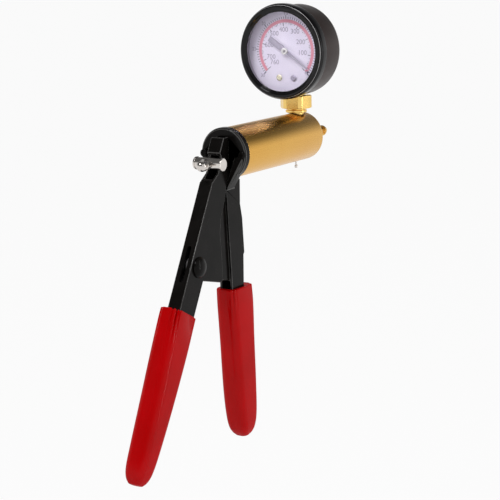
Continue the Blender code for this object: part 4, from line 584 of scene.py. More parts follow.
bright_steel = finish(
    "bright_steel", (0.74, 0.70, 0.66), (0.62, 0.58, 0.55), (0.85, 0.83, 0.80), (0.08, 0.18),
    cover=0.25, grain=900.0, bump=0.000004, strength=0.25, Metallic=1.0,
)
zinc_steel = finish(
    "zinc_steel", (0.46, 0.45, 0.45), (0.36, 0.35, 0.36), (0.62, 0.61, 0.60), (0.26, 0.44),
    cover=0.30, grain=1500.0, bump=0.000008, Metallic=1.0,
)
spring_steel = finish(
    "spring_steel", (0.34, 0.34, 0.35), (0.26, 0.26, 0.28), (0.50, 0.49, 0.48), (0.26, 0.40),
    cover=0.30, grain=1800.0, bump=0.000006, Metallic=1.0,
)
red_vinyl = finish(
    "red_vinyl", (0.56, 0.0005, 0.002), (0.50, 0.0005, 0.001), (0.64, 0.002, 0.005), (0.16, 0.26),
    patch=50.0, rub=220.0, cover=0.30, grain=260.0, bump=0.00002, strength=0.25,
    Specular_IOR_Level=0.0, Coat_Weight=0.22, Coat_Roughness=0.12,
)
black_rubber = finish(
    "black_rubber", (0.016, 0.016, 0.016), (0.022, 0.021, 0.020), (0.05, 0.05, 0.05), (0.55, 0.75),
    cover=0.3, grain=1600.0, bump=0.00002, strength=0.5,
)
white_plastic = finish(
    "white_plastic", (0.74, 0.73, 0.72), (0.70, 0.69, 0.67), (0.62, 0.61, 0.60), (0.34, 0.50),
    cover=0.2, grain=900.0, strength=0.3,
)
# Painted shade: the white plastic gasket in a darker grey, for the shade under the bezel's lip
gasket_painted_shade = finish(
    "gasket_painted_shade", (0.30, 0.28, 0.32), (0.26, 0.24, 0.28), (0.38, 0.36, 0.40), (0.34, 0.50),
    cover=0.2, grain=900.0, strength=0.3,
)
piston_alloy = finish(
    "piston_alloy", (0.66, 0.67, 0.68), (0.58, 0.59, 0.61), (0.76, 0.76, 0.77), (0.26, 0.42),
    cover=0.3, grain=(5000.0, 100.0, 100.0), bump=0.000008, Metallic=1.0,
)
dial_enamel = finish(
    "dial_enamel", (0.80, 0.755, 0.87), (0.78, 0.735, 0.85), (0.72, 0.68, 0.78), (0.34, 0.48),
    patch=70.0, rub=500.0, cover=0.20, grain=1400.0, bump=0.000004, strength=0.25,
)
pointer_grey = finish(
    "pointer_grey", (0.42, 0.39, 0.47), (0.37, 0.34, 0.42), (0.52, 0.49, 0.57), (0.34, 0.50),
    cover=0.3, grain=1500.0, bump=0.000004, strength=0.3,
)
PRINT_WEAR = {"rub": 900.0, "cover": 0.35, "grain": 2000.0, "bump": 0.000003, "strength": 0.3}
print_dark = finish(
    "print_dark", (0.36, 0.32, 0.42), (0.31, 0.27, 0.37), (0.44, 0.40, 0.50), (0.42, 0.56), **PRINT_WEAR
)
print_marks = finish(
    "print_marks", (0.17, 0.15, 0.22), (0.14, 0.12, 0.19), (0.28, 0.26, 0.33), (0.42, 0.56), **PRINT_WEAR
)
print_red = finish(
    "print_red", (0.78, 0.32, 0.40), (0.73, 0.27, 0.35), (0.84, 0.48, 0.55), (0.42, 0.56), **PRINT_WEAR
)
lens_glass = finish(
    "lens_glass", (0.98, 0.97, 1.0), (0.95, 0.94, 0.98), (0.90, 0.90, 0.92), (0.0, 0.03),
    cover=0.05, grain=60.0, rough_grain_share=5.0, strength=0.1, Transmission_Weight=1.0, IOR=1.3,
)
let_shadows_through(lens_glass)

# The model's own pieces that stay, by finish
KEPT_FINISHES = (
    (
        zinc_steel,
        (
            "cup_washer",
            "piston_screw",
            "flap_stud",
            "sector_axle",
            "movement_screw_left",
            "movement_screw_right",
            "pinion_spindle",
        ),
    ),
    (
        brass,
        (
            "front_plug",
            "movement_front_plate",
            "movement_back_plate",
            "movement_post_left",
            "movement_post_right",
            "sector_gear",
            "link",
            "pressure_tube",
        ),
    ),
    (black_rubber, ("piston_cup_seal", "plug_seal_ring", "inlet_flap", "release_seal", "socket_washer")),
    (white_plastic, ("piston_guide_ring",)),
    (piston_alloy, ("piston",)),
)


def finish_kept_pieces():
    for material, nodes in KEPT_FINISHES:
        for node in nodes:
            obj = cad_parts[node]
            if not obj.material_slots:
                obj.data.materials.append(material)
            for slot in obj.material_slots:
                slot.link = "OBJECT"
                slot.material = material


# A face and two axes that several pieces share
CYLINDER_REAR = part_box("cylinder_tube")[0].x
CYLINDER_AXIS = Vector((0.0, 0.0, node_middle("cylinder_tube").z))
GAUGE_AXIS = Vector((0.0, 0.0, node_middle("gauge_bezel").z))

# Pressed black pieces, with their rivet and screws
RIVET_DOME_HEIGHT = 0.0024
RIVET_DOME_STEPS = 12
RIVET_TAIL_RADIUS = 0.0044
RIVET_TAIL_THICKNESS = 0.0012
RIVET_SHANK_RADIUS = 0.0020
BUSH_RADIUS = 0.0055
BUSH_BORE_RADIUS = 0.0022
HEAD_SCREW_SHANK_RADIUS = 0.0009
HEAD_SCREW_HEAD = 0.0011
HEAD_SCREW_SHOULDER = 0.0005
HEAD_SCREW_CROWN_SHARE = 0.55
HEAD_SCREW_RECESS_SHARE = 0.62
SLOT_WIDTH = 0.0005
SLOT_DEPTH = 0.00035


def build_pressed_pieces():
    """The handle's and the lever's sheet metal, painted black, with a painted highlight on their rounded
    edges.
    """
    painted = (black_paint, edge_painted_highlight)
    handle = eased_copy("handle_frame", "handle", SHEET_EDGE, painted)
    dress(handle, "pump_body", "handle_frame", "black_paint", *painted)
    lever = eased_copy("lever", "squeeze_lever", SHEET_EDGE, painted)
    dress(lever, "lever_body", "lever", "black_paint", *painted)


def build_pivot():
    low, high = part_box("pivot_rivet")
    middle = node_middle("pivot_rivet")
    origin = Vector((middle.x, 0.0, middle.z))
    seat = low.y + RIVET_DOME_HEIGHT
    tail = high.y - RIVET_TAIL_THICKNESS
    profile = [
        (0.0, high.y, 0.0),
        (RIVET_TAIL_RADIUS, high.y, SOFT_ROUND),
        (RIVET_TAIL_RADIUS, tail, THIN_ROUND),
        (RIVET_SHANK_RADIUS, tail, 0.0),
        (RIVET_SHANK_RADIUS, seat, 0.0),
    ]
    profile += dome((high.x - low.x) / 2.0, seat, -RIVET_DOME_HEIGHT, RIVET_DOME_STEPS)
    rivet = turned("rivet", profile, origin, LEFT, BAR_STEPS)
    dress(rivet, "pump_body", "pivot_rivet", "black_paint", black_paint)
    low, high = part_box("pivot_bush")
    bush = ring("bush", BUSH_RADIUS, BUSH_BORE_RADIUS, low.y, high.y, EASY_ROUND, origin, LEFT, SMALL_STEPS)
    dress(bush, "pump_body", "pivot_bush", "zinc_steel", zinc_steel)


def screw(name, node, shank, tip_round, head, shoulder, shoulder_round, crown_share, crown_round):
    """A screw that points along the cylinder, with a low domed head."""
    low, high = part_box(node)
    radius = (high.y - low.y) / 2.0
    profile = [
        (0.0, high.x, 0.0),
        (shank, high.x, tip_round),
        (shank, low.x + head, 0.0),
        (radius, low.x + head, HAIR_ROUND),
        (radius, low.x + shoulder, shoulder_round),
        (radius * crown_share, low.x, crown_round),
        (0.0, low.x, 0.0),
    ]
    return turned(name, profile, lengthwise_axis(node), FORWARD, SMALL_STEPS)


def cut_slot(piece, node, reach_share, turn):
    """Cuts a driver's slot into a screw's head; the reach is a share of the head's radius."""
    low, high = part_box(node)
    reach = Vector((SLOT_DEPTH, reach_share * (high.y - low.y) / 2.0, SLOT_WIDTH / 2.0))
    cutter = block("slot", -reach, reach)
    face = lengthwise_axis(node) + FORWARD * low.x
    cutter.data.transform(Matrix.Translation(face) @ Matrix.Rotation(turn, 4, "X"))
    return combine(piece, cutter, "DIFFERENCE")


def build_head_screws():
    for side in ("left", "right"):
        node = "head_screw_" + side
        piece = screw(
            "screw_" + side,
            node,
            HEAD_SCREW_SHANK_RADIUS,
            THIN_ROUND,
            HEAD_SCREW_HEAD,
            HEAD_SCREW_SHOULDER,
            CROWN_ROUND,
            HEAD_SCREW_CROWN_SHARE,
            SOFT_ROUND,
        )
        piece = cut_slot(piece, node, HEAD_SCREW_RECESS_SHARE, 0.0)
        piece = smooth(cut_slot(piece, node, HEAD_SCREW_RECESS_SHARE, QUARTER_TURN))
        dress(piece, "pump_body", node, "black_paint", black_paint)


# Soft grips; their stations are (share of the length, rear, front, half width)
GRIP_HALF = 0.0065
GRIP_CORNER_SHARE = 0.70
GRIP_STATIONS = 72
GRIP_CORNER_STEPS = 14
GRIP_WELD = 0.000002
RIM_ROUND = 0.0005
RIM_STEPS = 6
RIM_WAVE = 0.0013
RIM_WAVE_FADE = 0.004
FOOT_SHARE = 0.992
FOOT_STEPS = 5
FOLD_DEPTH = 0.0019
FOLD_FADE = 0.0130
FIXED_GRIP_TOP = 0.0418
FIXED_GRIP_LENGTH = 0.0838
FIXED_GRIP_SOFTNESS = 0.4
FIXED_GRIP_SHARES = (
    (0.00, -0.650, 1.060, 0.96),
    (0.11, -0.610, 1.136, 0.98),
    (0.34, -0.470, 1.153, 1.00),
    (0.68, -0.296, 1.201, 1.02),
    (0.86, -0.128, 1.201, 0.98),
    (0.94, 0.031, 1.088, 0.88),
    (0.98, 0.224, 0.912, 0.68),
    (1.00, 0.401, 0.720, 0.42),
)
LEVER_GRIP_TOP = -0.0250
LEVER_GRIP_LENGTH = 0.0885
LEVER_GRIP_SOFTNESS = 1.0
LEVER_GRIP_SHARES = (
    (0.00, -0.402, 1.091, 0.93),
    (0.06, -0.399, 1.093, 0.95),
    (0.23, -0.329, 1.096, 0.99),
    (0.51, -0.198, 1.035, 1.02),
    (0.79, -0.103, 0.939, 0.98),
    (0.915, -0.059, 0.854, 0.90),
    (0.97, 0.036, 0.744, 0.72),
    (1.00, 0.189, 0.591, 0.44),
)

# A grip's folds: (turn round it in degrees, width in radians, share of the full depth)
FOLDS = (
    (196.0, 0.13, 0.55),
    (228.0, 0.10, 0.80),
    (252.0, 0.09, 0.60),
    (284.0, 0.11, 0.75),
    (330.0, 0.14, 0.50),
    (60.0, 0.12, 0.60),
    (118.0, 0.12, 0.60),
    (150.0, 0.10, 0.50),
)

# The metal inside the grips: outlines of (share of the length, share of the depth)
HANDLE_TOP_DROP = 0.0139
HANDLE_LENGTH = 0.134
HANDLE_DEPTH = 0.0125
HANDLE_REAR_SHARES = ((0.389, -0.424), (0.501, -0.384), (0.851, -0.150), (0.962, 0.020), (1.000, 0.280))
HANDLE_FRONT_SHARES = ((0.419, 0.504), (0.568, 0.640), (0.851, 0.840), (0.955, 0.840), (0.992, 0.640))
LEVER_DEPTH = 0.0139
WEB_TO_PIVOT = 0.0072
LEVER_LEAN = math.radians(28.7)
LEVER_TAIL_LENGTH = 0.104
TAIL_FRONT_SHARES = ((0.10, 1.00), (0.22, 1.00), (0.88, 0.60), (0.97, 0.33))
TAIL_TIP_SHARE = -0.18
TAIL_REAR_SHARES = ((0.985, 0.61), (0.91, 0.79), (0.28, 1.00), (0.10, 1.00))


def smooth_row(table, share):
    """A table's values at a share, on a smooth curve through its stations."""
    last = len(table) - 1
    k = 0
    while k < last - 1 and share > table[k + 1][0]:
        k += 1
    span = table[k + 1][0] - table[k][0]
    t = min(max((share - table[k][0]) / span, 0.0), 1.0)
    values = []
    for column in (1, 2, 3):
        slopes = []
        for i in (k, k + 1):
            before = table[max(i - 1, 0)]
            after = table[min(i + 1, last)]
            slopes.append((after[column] - before[column]) / (after[0] - before[0]) * span)
        value = (2 * t**3 - 3 * t**2 + 1) * table[k][column] + (t**3 - 2 * t**2 + t) * slopes[0]
        value += (3 * t**2 - 2 * t**3) * table[k + 1][column] + (t**3 - t**2) * slopes[1]
        values.append(value)
    return values


def grip_section(rear, front, half, inset):
    """Places of (depth, side, turn) round a grip's section with round corners."""
    rear, front, half = rear + inset, front - inset, half - inset
    corner = min(GRIP_CORNER_SHARE * half, (front - rear) / 2.0)
    places = []
    for quarter, (depth, side) in enumerate(
        (
            (front - corner, half - corner),
            (rear + corner, half - corner),
            (rear + corner, corner - half),
            (front - corner, corner - half),
        )
    ):
        for i in range(GRIP_CORNER_STEPS):
            turn = QUARTER_TURN * (quarter + i / (GRIP_CORNER_STEPS - 1))
            places.append((depth + corner * math.cos(turn), side + corner * math.sin(turn), turn))
    return places


def fold_depth(turn, down):
    """How far a grip is drawn in by its narrow upright folds, at a turn and a distance below its rim."""
    folds = 0.0
    for degrees, width, share in FOLDS:
        folds += share * math.exp(-(((turn - math.radians(degrees)) / width) ** 2))
    return FOLD_DEPTH * math.exp(-((down / FOLD_FADE) ** 2)) * folds


def sleeve(name, table, depth_size, depth_shift, length, place, softness):
    """A soft sleeve through a table's stations, with a folded rim and a rounded closed foot.

    The softness is the strength of the folds, and place turns (depth, side, distance down) into a place."""
    stops = []
    for i in range(RIM_STEPS + 1):
        stops.append(RIM_ROUND * (1.0 - math.cos(QUARTER_TURN * i / RIM_STEPS)) / length)
    rim_end = stops[-1]
    for i in range(1, GRIP_STATIONS + 1):
        stops.append(rim_end + (FOOT_SHARE - rim_end) * i / GRIP_STATIONS)
    work = bmesh.new()
    rings = []
    for share in stops:
        rear, front, half = smooth_row(table, share)
        down = share * length
        rim = max(RIM_ROUND - down, 0.0)
        inset = RIM_ROUND - math.sqrt(max(RIM_ROUND**2 - rim**2, 0.0))
        rear, front = rear * depth_size + depth_shift, front * depth_size + depth_shift
        section = grip_section(rear, front, half * GRIP_HALF, inset)
        middle = sum(corner[0] for corner in section) / len(section)
        wave = RIM_WAVE / FOLD_DEPTH * math.exp(-((down / RIM_WAVE_FADE) ** 2))
        verts = []
        for depth, side, turn in section:
            drawn = softness * fold_depth(turn, down)
            kept = 1.0 - drawn / math.hypot(depth - middle, side)
            spot = place(middle + (depth - middle) * kept, side * kept, down + wave * drawn)
            verts.append(work.verts.new(spot))
        rings.append(verts)
    rear, front, half = smooth_row(table, FOOT_SHARE)
    middle = (rear + front) / 2.0 * depth_size + depth_shift
    start = place(middle, 0.0, FOOT_SHARE * length)
    end = place(middle, 0.0, length)
    edge = [vert.co - start for vert in rings[-1]]
    for i in range(1, FOOT_STEPS):
        angle = QUARTER_TURN * i / FOOT_STEPS
        centre = start + (end - start) * math.sin(angle)
        rings.append([work.verts.new(centre + offset * math.cos(angle)) for offset in edge])
    tip = work.verts.new(end)
    count = len(rings[0])
    for i in range(count):
        j = (i + 1) % count
        for lower, upper in zip(rings, rings[1:]):
            work.faces.new((lower[i], lower[j], upper[j], upper[i]))
        work.faces.new((rings[-1][i], rings[-1][j], tip))
    work.faces.new(rings[0])
    bmesh.ops.remove_doubles(work, verts=work.verts, dist=GRIP_WELD)
    return mesh_object(name, work)


def make_room(grip, outline):
    """Cuts the room for the pressed metal out of a grip."""
    half_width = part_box("lever")[1].y + FIT_GAP
    return smooth(combine(grip, slab("room", outline, half_width), "DIFFERENCE"), SOFT_ANGLE)


def build_fixed_grip():
    top = CYLINDER_AXIS.z - HANDLE_TOP_DROP

    def on_handle(share, depth, gap):
        return Vector((CYLINDER_REAR + depth * HANDLE_DEPTH + gap, 0.0, top - share * HANDLE_LENGTH))

    grip = sleeve(
        "fixed_sleeve",
        FIXED_GRIP_SHARES,
        HANDLE_DEPTH,
        CYLINDER_REAR,
        FIXED_GRIP_LENGTH,
        lambda depth, side, down: Vector((depth, side, FIXED_GRIP_TOP - down)),
        FIXED_GRIP_SOFTNESS,
    )
    rear = [on_handle(share, depth, -FIT_GAP) for share, depth in HANDLE_REAR_SHARES]
    front = [on_handle(share, depth, FIT_GAP) for share, depth in reversed(HANDLE_FRONT_SHARES)]
    rear[-1].z -= FIT_GAP
    front[0].z -= FIT_GAP
    grip = make_room(grip, rear + front)
    dress(grip, "pump_body", "fixed_grip", "red_vinyl", red_vinyl)


def build_lever_grip():
    pivot = node_middle("pivot_bush")
    pivot.y = 0.0
    along_axis = Vector((math.sin(LEVER_LEAN), 0.0, math.cos(LEVER_LEAN)))
    across_axis = Vector((math.cos(LEVER_LEAN), 0.0, -math.sin(LEVER_LEAN)))

    def on_lever(down, across, side=0.0):
        return pivot - along_axis * down + across_axis * across + LEFT * side

    grip = sleeve(
        "lever_sleeve",
        LEVER_GRIP_SHARES,
        LEVER_DEPTH,
        -WEB_TO_PIVOT,
        LEVER_GRIP_LENGTH,
        lambda depth, side, down: on_lever(down - LEVER_GRIP_TOP, depth, side),
        LEVER_GRIP_SOFTNESS,
    )
    web = -WEB_TO_PIVOT
    face = web + LEVER_DEPTH
    outline = []
    for share, depth in TAIL_FRONT_SHARES:
        outline.append(on_lever(share * LEVER_TAIL_LENGTH, depth * face + FIT_GAP))
    outline.append(on_lever(LEVER_TAIL_LENGTH + FIT_GAP, TAIL_TIP_SHARE * face))
    for share, depth in TAIL_REAR_SHARES:
        outline.append(on_lever(share * LEVER_TAIL_LENGTH, depth * web - FIT_GAP))
    grip = make_room(grip, outline)
    dress(grip, "lever_body", "lever_grip", "red_vinyl", red_vinyl)


# Cylinder, rod and valves
BORE_RADIUS = 0.010
CYLINDER_FRONT_ROUND = 0.0022
PORT_RADIUS = 0.0045
PORT_FOOT, PORT_TOP = 0.118, 0.130
PIN_HOLE_RADIUS = 0.0009
PIN_HOLE_FOOT, PIN_HOLE_TOP = 0.095, 0.108
SCREW_HOLE_RADIUS = 0.0012
SCREW_HOLE_REAR, SCREW_HOLE_FRONT = -0.007, -0.0022
ROD_RADIUS = 0.0022
ROD_THREAD_RADIUS = 0.0015
ROD_THREAD_LENGTH = 0.0066
PISTON_SEAT_DEPTH = 0.005
CROSS_RADIUS = 0.0031
CROSS_RIM_RADIUS = 0.0034
CROSS_RIM_WIDTH = 0.0011
THREAD_HOLE_RADIUS = 0.0018
CROSS_HOLE_REACH = 0.005
NUT_CORNER_RADIUS = 0.0033
NUT_HEX_HEIGHT = 0.0022
NUT_CHAMFER = 0.0004
NUT_DOME_RADIUS = 0.0028
NUT_DOME_WALL = 0.0018
NUT_DOME_HEIGHT = 0.0029
NUT_DOME_STEPS = 10
NUT_OVERLAP = 0.0004
NUT_THREAD_DEPTH = 0.0069
NUT_THREAD_START = 0.002
RETURN_TRAVEL = 0.0262
RELEASE_TRAVEL = 0.0013
PIN_HEAD_RADIUS = 0.0018
PIN_HEAD_HEIGHT = 0.0008
PIN_STEM_RADIUS = 0.0006
PIN_BUTTON_RADIUS = 0.0009
PIN_BUTTON_HEIGHT = 0.0014
PIN_BUTTON_SLOPE = 0.0002
NOZZLE_BORE_RADIUS = 0.0012
NOZZLE_RADIUS = 0.0021
NOZZLE_SPIGOT_RADIUS = 0.0023
BARBS = 3
BARB_RADIUS = 0.0030
BARB_PITCH = 0.0045
BARB_CREST = 0.0009
BARB_BACK = 0.0011
NOZZLE_HEX_RADIUS = 0.0048
NOZZLE_HEX_HEIGHT = 0.0035
NOZZLE_HEX_CHAMFER = 0.0006
NOZZLE_HEX_BORE_RADIUS = 0.0016
NOZZLE_HEX_BORE_BACK, NOZZLE_HEX_BORE_FRONT = 0.001, 0.005
NOZZLE_WASHER_BORE_RADIUS = 0.0026


def build_cylinder():
    low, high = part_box("cylinder_tube")
    profile = [
        (BORE_RADIUS, high.x, FINE_ROUND),
        (high.y, high.x, CYLINDER_FRONT_ROUND),
        (high.y, low.x, FINE_ROUND),
        (BORE_RADIUS, low.x, FINE_ROUND),
    ]
    tube = turned("cylinder", profile, CYLINDER_AXIS, FORWARD, ROUND_STEPS)
    tube = drill(tube, PORT_RADIUS, PORT_FOOT, PORT_TOP, upright_axis("socket_washer"), UP)
    pin_axis = upright_axis("release_pin")
    tube = drill(tube, PIN_HOLE_RADIUS, PIN_HOLE_FOOT, PIN_HOLE_TOP, pin_axis, UP, HOLE_STEPS)
    for side in ("left", "right"):
        screw_axis = lengthwise_axis("head_screw_" + side)
        tube = drill(
            tube, SCREW_HOLE_RADIUS, SCREW_HOLE_REAR, SCREW_HOLE_FRONT, screw_axis, FORWARD, HOLE_STEPS
        )
    smooth(tube, METAL_ANGLE)
    dress(tube, "pump_body", "cylinder_tube", "gold_anodised", gold_anodised)


def build_rod():
    """The sloping rod, the cross pin on its thread and the cap nut behind that."""
    pin = node_middle("cross_pin")
    pin.y = 0.0
    seat = Vector((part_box("piston")[0].x + PISTON_SEAT_DEPTH, 0.0, CYLINDER_AXIS.z))
    direction = (seat - pin).normalized()
    length = (seat - pin).length
    profile = [
        (0.0, length, 0.0),
        (ROD_RADIUS, length, EASY_ROUND),
        (ROD_RADIUS, CROSS_RIM_RADIUS, FINE_ROUND),
        (ROD_THREAD_RADIUS, CROSS_RIM_RADIUS, 0.0),
        (ROD_THREAD_RADIUS, -ROD_THREAD_LENGTH, FINE_ROUND),
        (0.0, -ROD_THREAD_LENGTH, 0.0),
    ]
    rod = turned("rod", profile, pin, direction, SMALL_STEPS)
    dress(rod, "piston_body", "piston_rod", "bright_steel", bright_steel)

    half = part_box("cross_pin")[1].y
    right_end = [
        (0.0, half, 0.0),
        (CROSS_RIM_RADIUS, half, CROWN_ROUND),
        (CROSS_RIM_RADIUS, half - CROSS_RIM_WIDTH, THIN_ROUND),
        (CROSS_RADIUS, half - CROSS_RIM_WIDTH, 0.0),
    ]
    left_end = [(radius, -along, rounding) for radius, along, rounding in reversed(right_end)]
    cross = turned("cross_bar", right_end + left_end, pin, LEFT, BAR_STEPS)
    cross = smooth(drill(cross, THREAD_HOLE_RADIUS, -CROSS_HOLE_REACH, CROSS_HOLE_REACH, pin, direction))
    dress(cross, "piston_body", "cross_pin", "bright_steel", bright_steel)

    foot = -CROSS_RIM_RADIUS - NUT_HEX_HEIGHT
    nut = hexagon("nut", NUT_CORNER_RADIUS, foot, -CROSS_RIM_RADIUS, pin, direction, NUT_CHAMFER)
    cap = [(0.0, foot + NUT_OVERLAP, 0.0), (NUT_DOME_RADIUS, foot + NUT_OVERLAP, 0.0)]
    cap += dome(NUT_DOME_RADIUS, foot - NUT_DOME_WALL, -NUT_DOME_HEIGHT, NUT_DOME_STEPS)
    nut = combine(nut, turned("nut_dome", cap, pin, direction, SMALL_STEPS), "UNION")
    nut = drill(nut, THREAD_HOLE_RADIUS, -NUT_THREAD_DEPTH, -NUT_THREAD_START, pin, direction)
    dress(smooth(nut, CREASE_ANGLE), "piston_body", "cap_nut", "bright_steel", bright_steel)


def build_springs():
    """Copies of the two springs, welded and smooth shaded."""
    for node, name, axis, fixed_end, joint, travel in (
        ("return_spring", "coil_return", FORWARD, 0, "rod_slide", RETURN_TRAVEL),
        ("release_spring", "coil_release", UP, 1, "release_push", RELEASE_TRAVEL),
    ):
        work = bmesh.new()
        work.from_mesh(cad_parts[node].data)
        bmesh.ops.remove_doubles(work, verts=work.verts, dist=WELD)
        coil = smooth(mesh_object(name, work))
        dress(coil, "pump_body", node, "spring_steel", spring_steel)
        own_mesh(coil)


def build_release_pin():
    low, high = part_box("release_pin")
    head = high.z - PIN_HEAD_HEIGHT
    button = low.z + PIN_BUTTON_HEIGHT
    profile = [
        (0.0, high.z, 0.0),
        (PIN_HEAD_RADIUS, high.z, HAIR_ROUND),
        (PIN_HEAD_RADIUS, head, HAIR_ROUND),
        (PIN_STEM_RADIUS, head, 0.0),
        (PIN_STEM_RADIUS, button + PIN_BUTTON_SLOPE, 0.0),
        (PIN_BUTTON_RADIUS, button, HAIR_ROUND),
        (PIN_BUTTON_RADIUS, low.z, SOFT_ROUND),
        (0.0, low.z, 0.0),
    ]
    pin = turned("push_pin", profile, upright_axis("release_pin"), UP, BORE_STEPS)
    dress(pin, "release_body", "release_pin", "zinc_steel", bright_steel)


def build_nozzle():
    low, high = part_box("hose_nozzle")
    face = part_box("nozzle_washer")[1].x + SEAT_GAP
    profile = [(NOZZLE_BORE_RADIUS, high.x, THIN_ROUND)]
    for i in range(BARBS):
        top = high.x - i * BARB_PITCH
        crest = top - BARB_PITCH / 2.0
        profile += [
            (NOZZLE_RADIUS, top, THIN_ROUND),
            (BARB_RADIUS, crest, THIN_ROUND),
            (BARB_RADIUS, crest - BARB_CREST, THIN_ROUND),
            (NOZZLE_RADIUS, crest - BARB_BACK, HAIR_ROUND),
        ]
    profile += [
        (NOZZLE_RADIUS, face, 0.0),
        (NOZZLE_SPIGOT_RADIUS, face, 0.0),
        (NOZZLE_SPIGOT_RADIUS, low.x, FINE_ROUND),
        (NOZZLE_BORE_RADIUS, low.x, 0.0),
    ]
    nozzle = turned("nozzle", profile, CYLINDER_AXIS, FORWARD, BAR_STEPS)
    front = face + NOZZLE_HEX_HEIGHT
    nut = hexagon("nozzle_hex", NOZZLE_HEX_RADIUS, face, front, CYLINDER_AXIS, FORWARD, NOZZLE_HEX_CHAMFER)
    rear, front = face - NOZZLE_HEX_BORE_BACK, face + NOZZLE_HEX_BORE_FRONT
    nut = drill(nut, NOZZLE_HEX_BORE_RADIUS, rear, front, CYLINDER_AXIS, FORWARD)
    nozzle = smooth(combine(nozzle, nut, "UNION"), METAL_ANGLE)
    dress(nozzle, "pump_body", "hose_nozzle", "brass", turned_brass)

    low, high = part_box("nozzle_washer")
    washer = ring(
        "washer",
        NOZZLE_HEX_RADIUS,
        NOZZLE_WASHER_BORE_RADIUS,
        low.x,
        high.x,
        FINE_ROUND,
        CYLINDER_AXIS,
        FORWARD,
        BAR_STEPS,
    )
    dress(washer, "pump_body", "nozzle_washer", "black_rubber", black_rubber)


# Gauge fitting, case, bezel and lens
SOCKET_TURN = math.radians(14.0)
SOCKET_HEX_RADIUS = 0.0093
SOCKET_HEX_FOOT = 0.1294
SOCKET_HEX_TOP = 0.1361
SOCKET_HEX_CHAMFER = 0.0007
SOCKET_HEX_OVERLAP = 0.0004
SOCKET_NECK_RADIUS = 0.0045
SOCKET_NECK_TOP = 0.1395
COLLAR_INTO_HEX = 0.001
COLLAR_TOP_RADIUS = 0.0060
COLLAR_RADIUS = 0.0059
COLLAR_FOOT = 0.1267
COLLAR_SEAT_RADIUS = 0.0054
SOCKET_SPIGOT_RADIUS = 0.0042
SOCKET_BLOCK_FOOT = 0.1385
SOCKET_BLOCK_DEPTH = 0.0066
SOCKET_BLOCK_HALF = 0.005
SOCKET_BORE_RADIUS = 0.0012
SOCKET_BORE_TOP = 0.1430
SOCKET_BORE_BELOW = 0.002
CASE_WALL = 0.0009
CASE_CORNER_ROUND = 0.0030
CASE_INNER_ROUND = 0.0022
NECK_HOLE_RADIUS = 0.0048
NECK_HOLE_FOOT, NECK_HOLE_TOP = 0.130, 0.145
BEZEL_LIP_RADIUS = 0.0215
ROLL_HIGHLIGHT_REACH = 0.0013
ROLL_HIGHLIGHT_TILT_LOW, ROLL_HIGHLIGHT_TILT_HIGH = 0.58, 0.74
GASKET_FLANGE_WIDTH = 0.0009
GASKET_FLANGE_DEPTH = 0.0008
GASKET_WALL = 0.0005

# The waisted collar: (radius, share of its drop from the hexagon to the seat, rounding)
COLLAR_WAIST = (
    (COLLAR_TOP_RADIUS, 0.22, THIN_ROUND),
    (0.0052, 0.34, HAIR_ROUND),
    (0.0051, 0.62, HAIR_ROUND),
    (COLLAR_RADIUS, 0.74, THIN_ROUND),
)

# The bezel's roll: (distance in from its rim, distance back from its front, rounding)
BEZEL_ROLL = (
    (0.0, 0.0024, 0.0004),
    (0.0004, 0.0012, 0.0006),
    (0.0012, 0.0, 0.0010),
    (0.0027, 0.0, 0.0009),
    (0.0034, 0.0006, 0.0002),
)

# The bezel's lip: (distance out from its edge, distance back from the bezel's front, rounding)
BEZEL_LIP = ((0.0004, 0.0008, 0.0003), (0.0, 0.0011, 0.0001))


def build_socket():
    low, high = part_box("gauge_socket")
    origin = upright_axis("socket_washer")
    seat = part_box("socket_washer")[1].z + SEAT_GAP
    profile = [
        (0.0, SOCKET_NECK_TOP, 0.0),
        (SOCKET_NECK_RADIUS, SOCKET_NECK_TOP, 0.0),
        (SOCKET_NECK_RADIUS, SOCKET_HEX_FOOT + COLLAR_INTO_HEX, 0.0),
        (COLLAR_TOP_RADIUS, SOCKET_HEX_FOOT + COLLAR_INTO_HEX, 0.0),
    ]
    for radius, share, rounding in COLLAR_WAIST:
        profile.append((radius, SOCKET_HEX_FOOT - (SOCKET_HEX_FOOT - seat) * share, rounding))
    profile += [
        (COLLAR_RADIUS, COLLAR_FOOT, THIN_ROUND),
        (COLLAR_SEAT_RADIUS, COLLAR_FOOT, 0.0),
        (COLLAR_SEAT_RADIUS, seat, 0.0),
        (SOCKET_SPIGOT_RADIUS, seat, 0.0),
        (SOCKET_SPIGOT_RADIUS, low.z, EASY_ROUND),
        (0.0, low.z, 0.0),
    ]
    socket = turned("socket", profile, origin, UP)
    foot = SOCKET_HEX_FOOT - SOCKET_HEX_OVERLAP
    nut = hexagon(
        "socket_hex", SOCKET_HEX_RADIUS, foot, SOCKET_HEX_TOP, origin, UP, SOCKET_HEX_CHAMFER, SOCKET_TURN
    )
    socket = combine(socket, nut, "UNION")
    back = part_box("movement_back_plate")[1].x + FIT_GAP
    body = block(
        "socket_block",
        Vector((back, -SOCKET_BLOCK_HALF, SOCKET_BLOCK_FOOT)),
        Vector((back + SOCKET_BLOCK_DEPTH, SOCKET_BLOCK_HALF, high.z)),
    )
    socket = combine(socket, body, "UNION")
    below = low.z - SOCKET_BORE_BELOW
    socket = drill(socket, SOCKET_BORE_RADIUS, below, SOCKET_BORE_TOP, origin, UP, THIN_STEPS)
    dress(smooth(socket, METAL_ANGLE), "pump_body", "gauge_socket", "brass", brass)


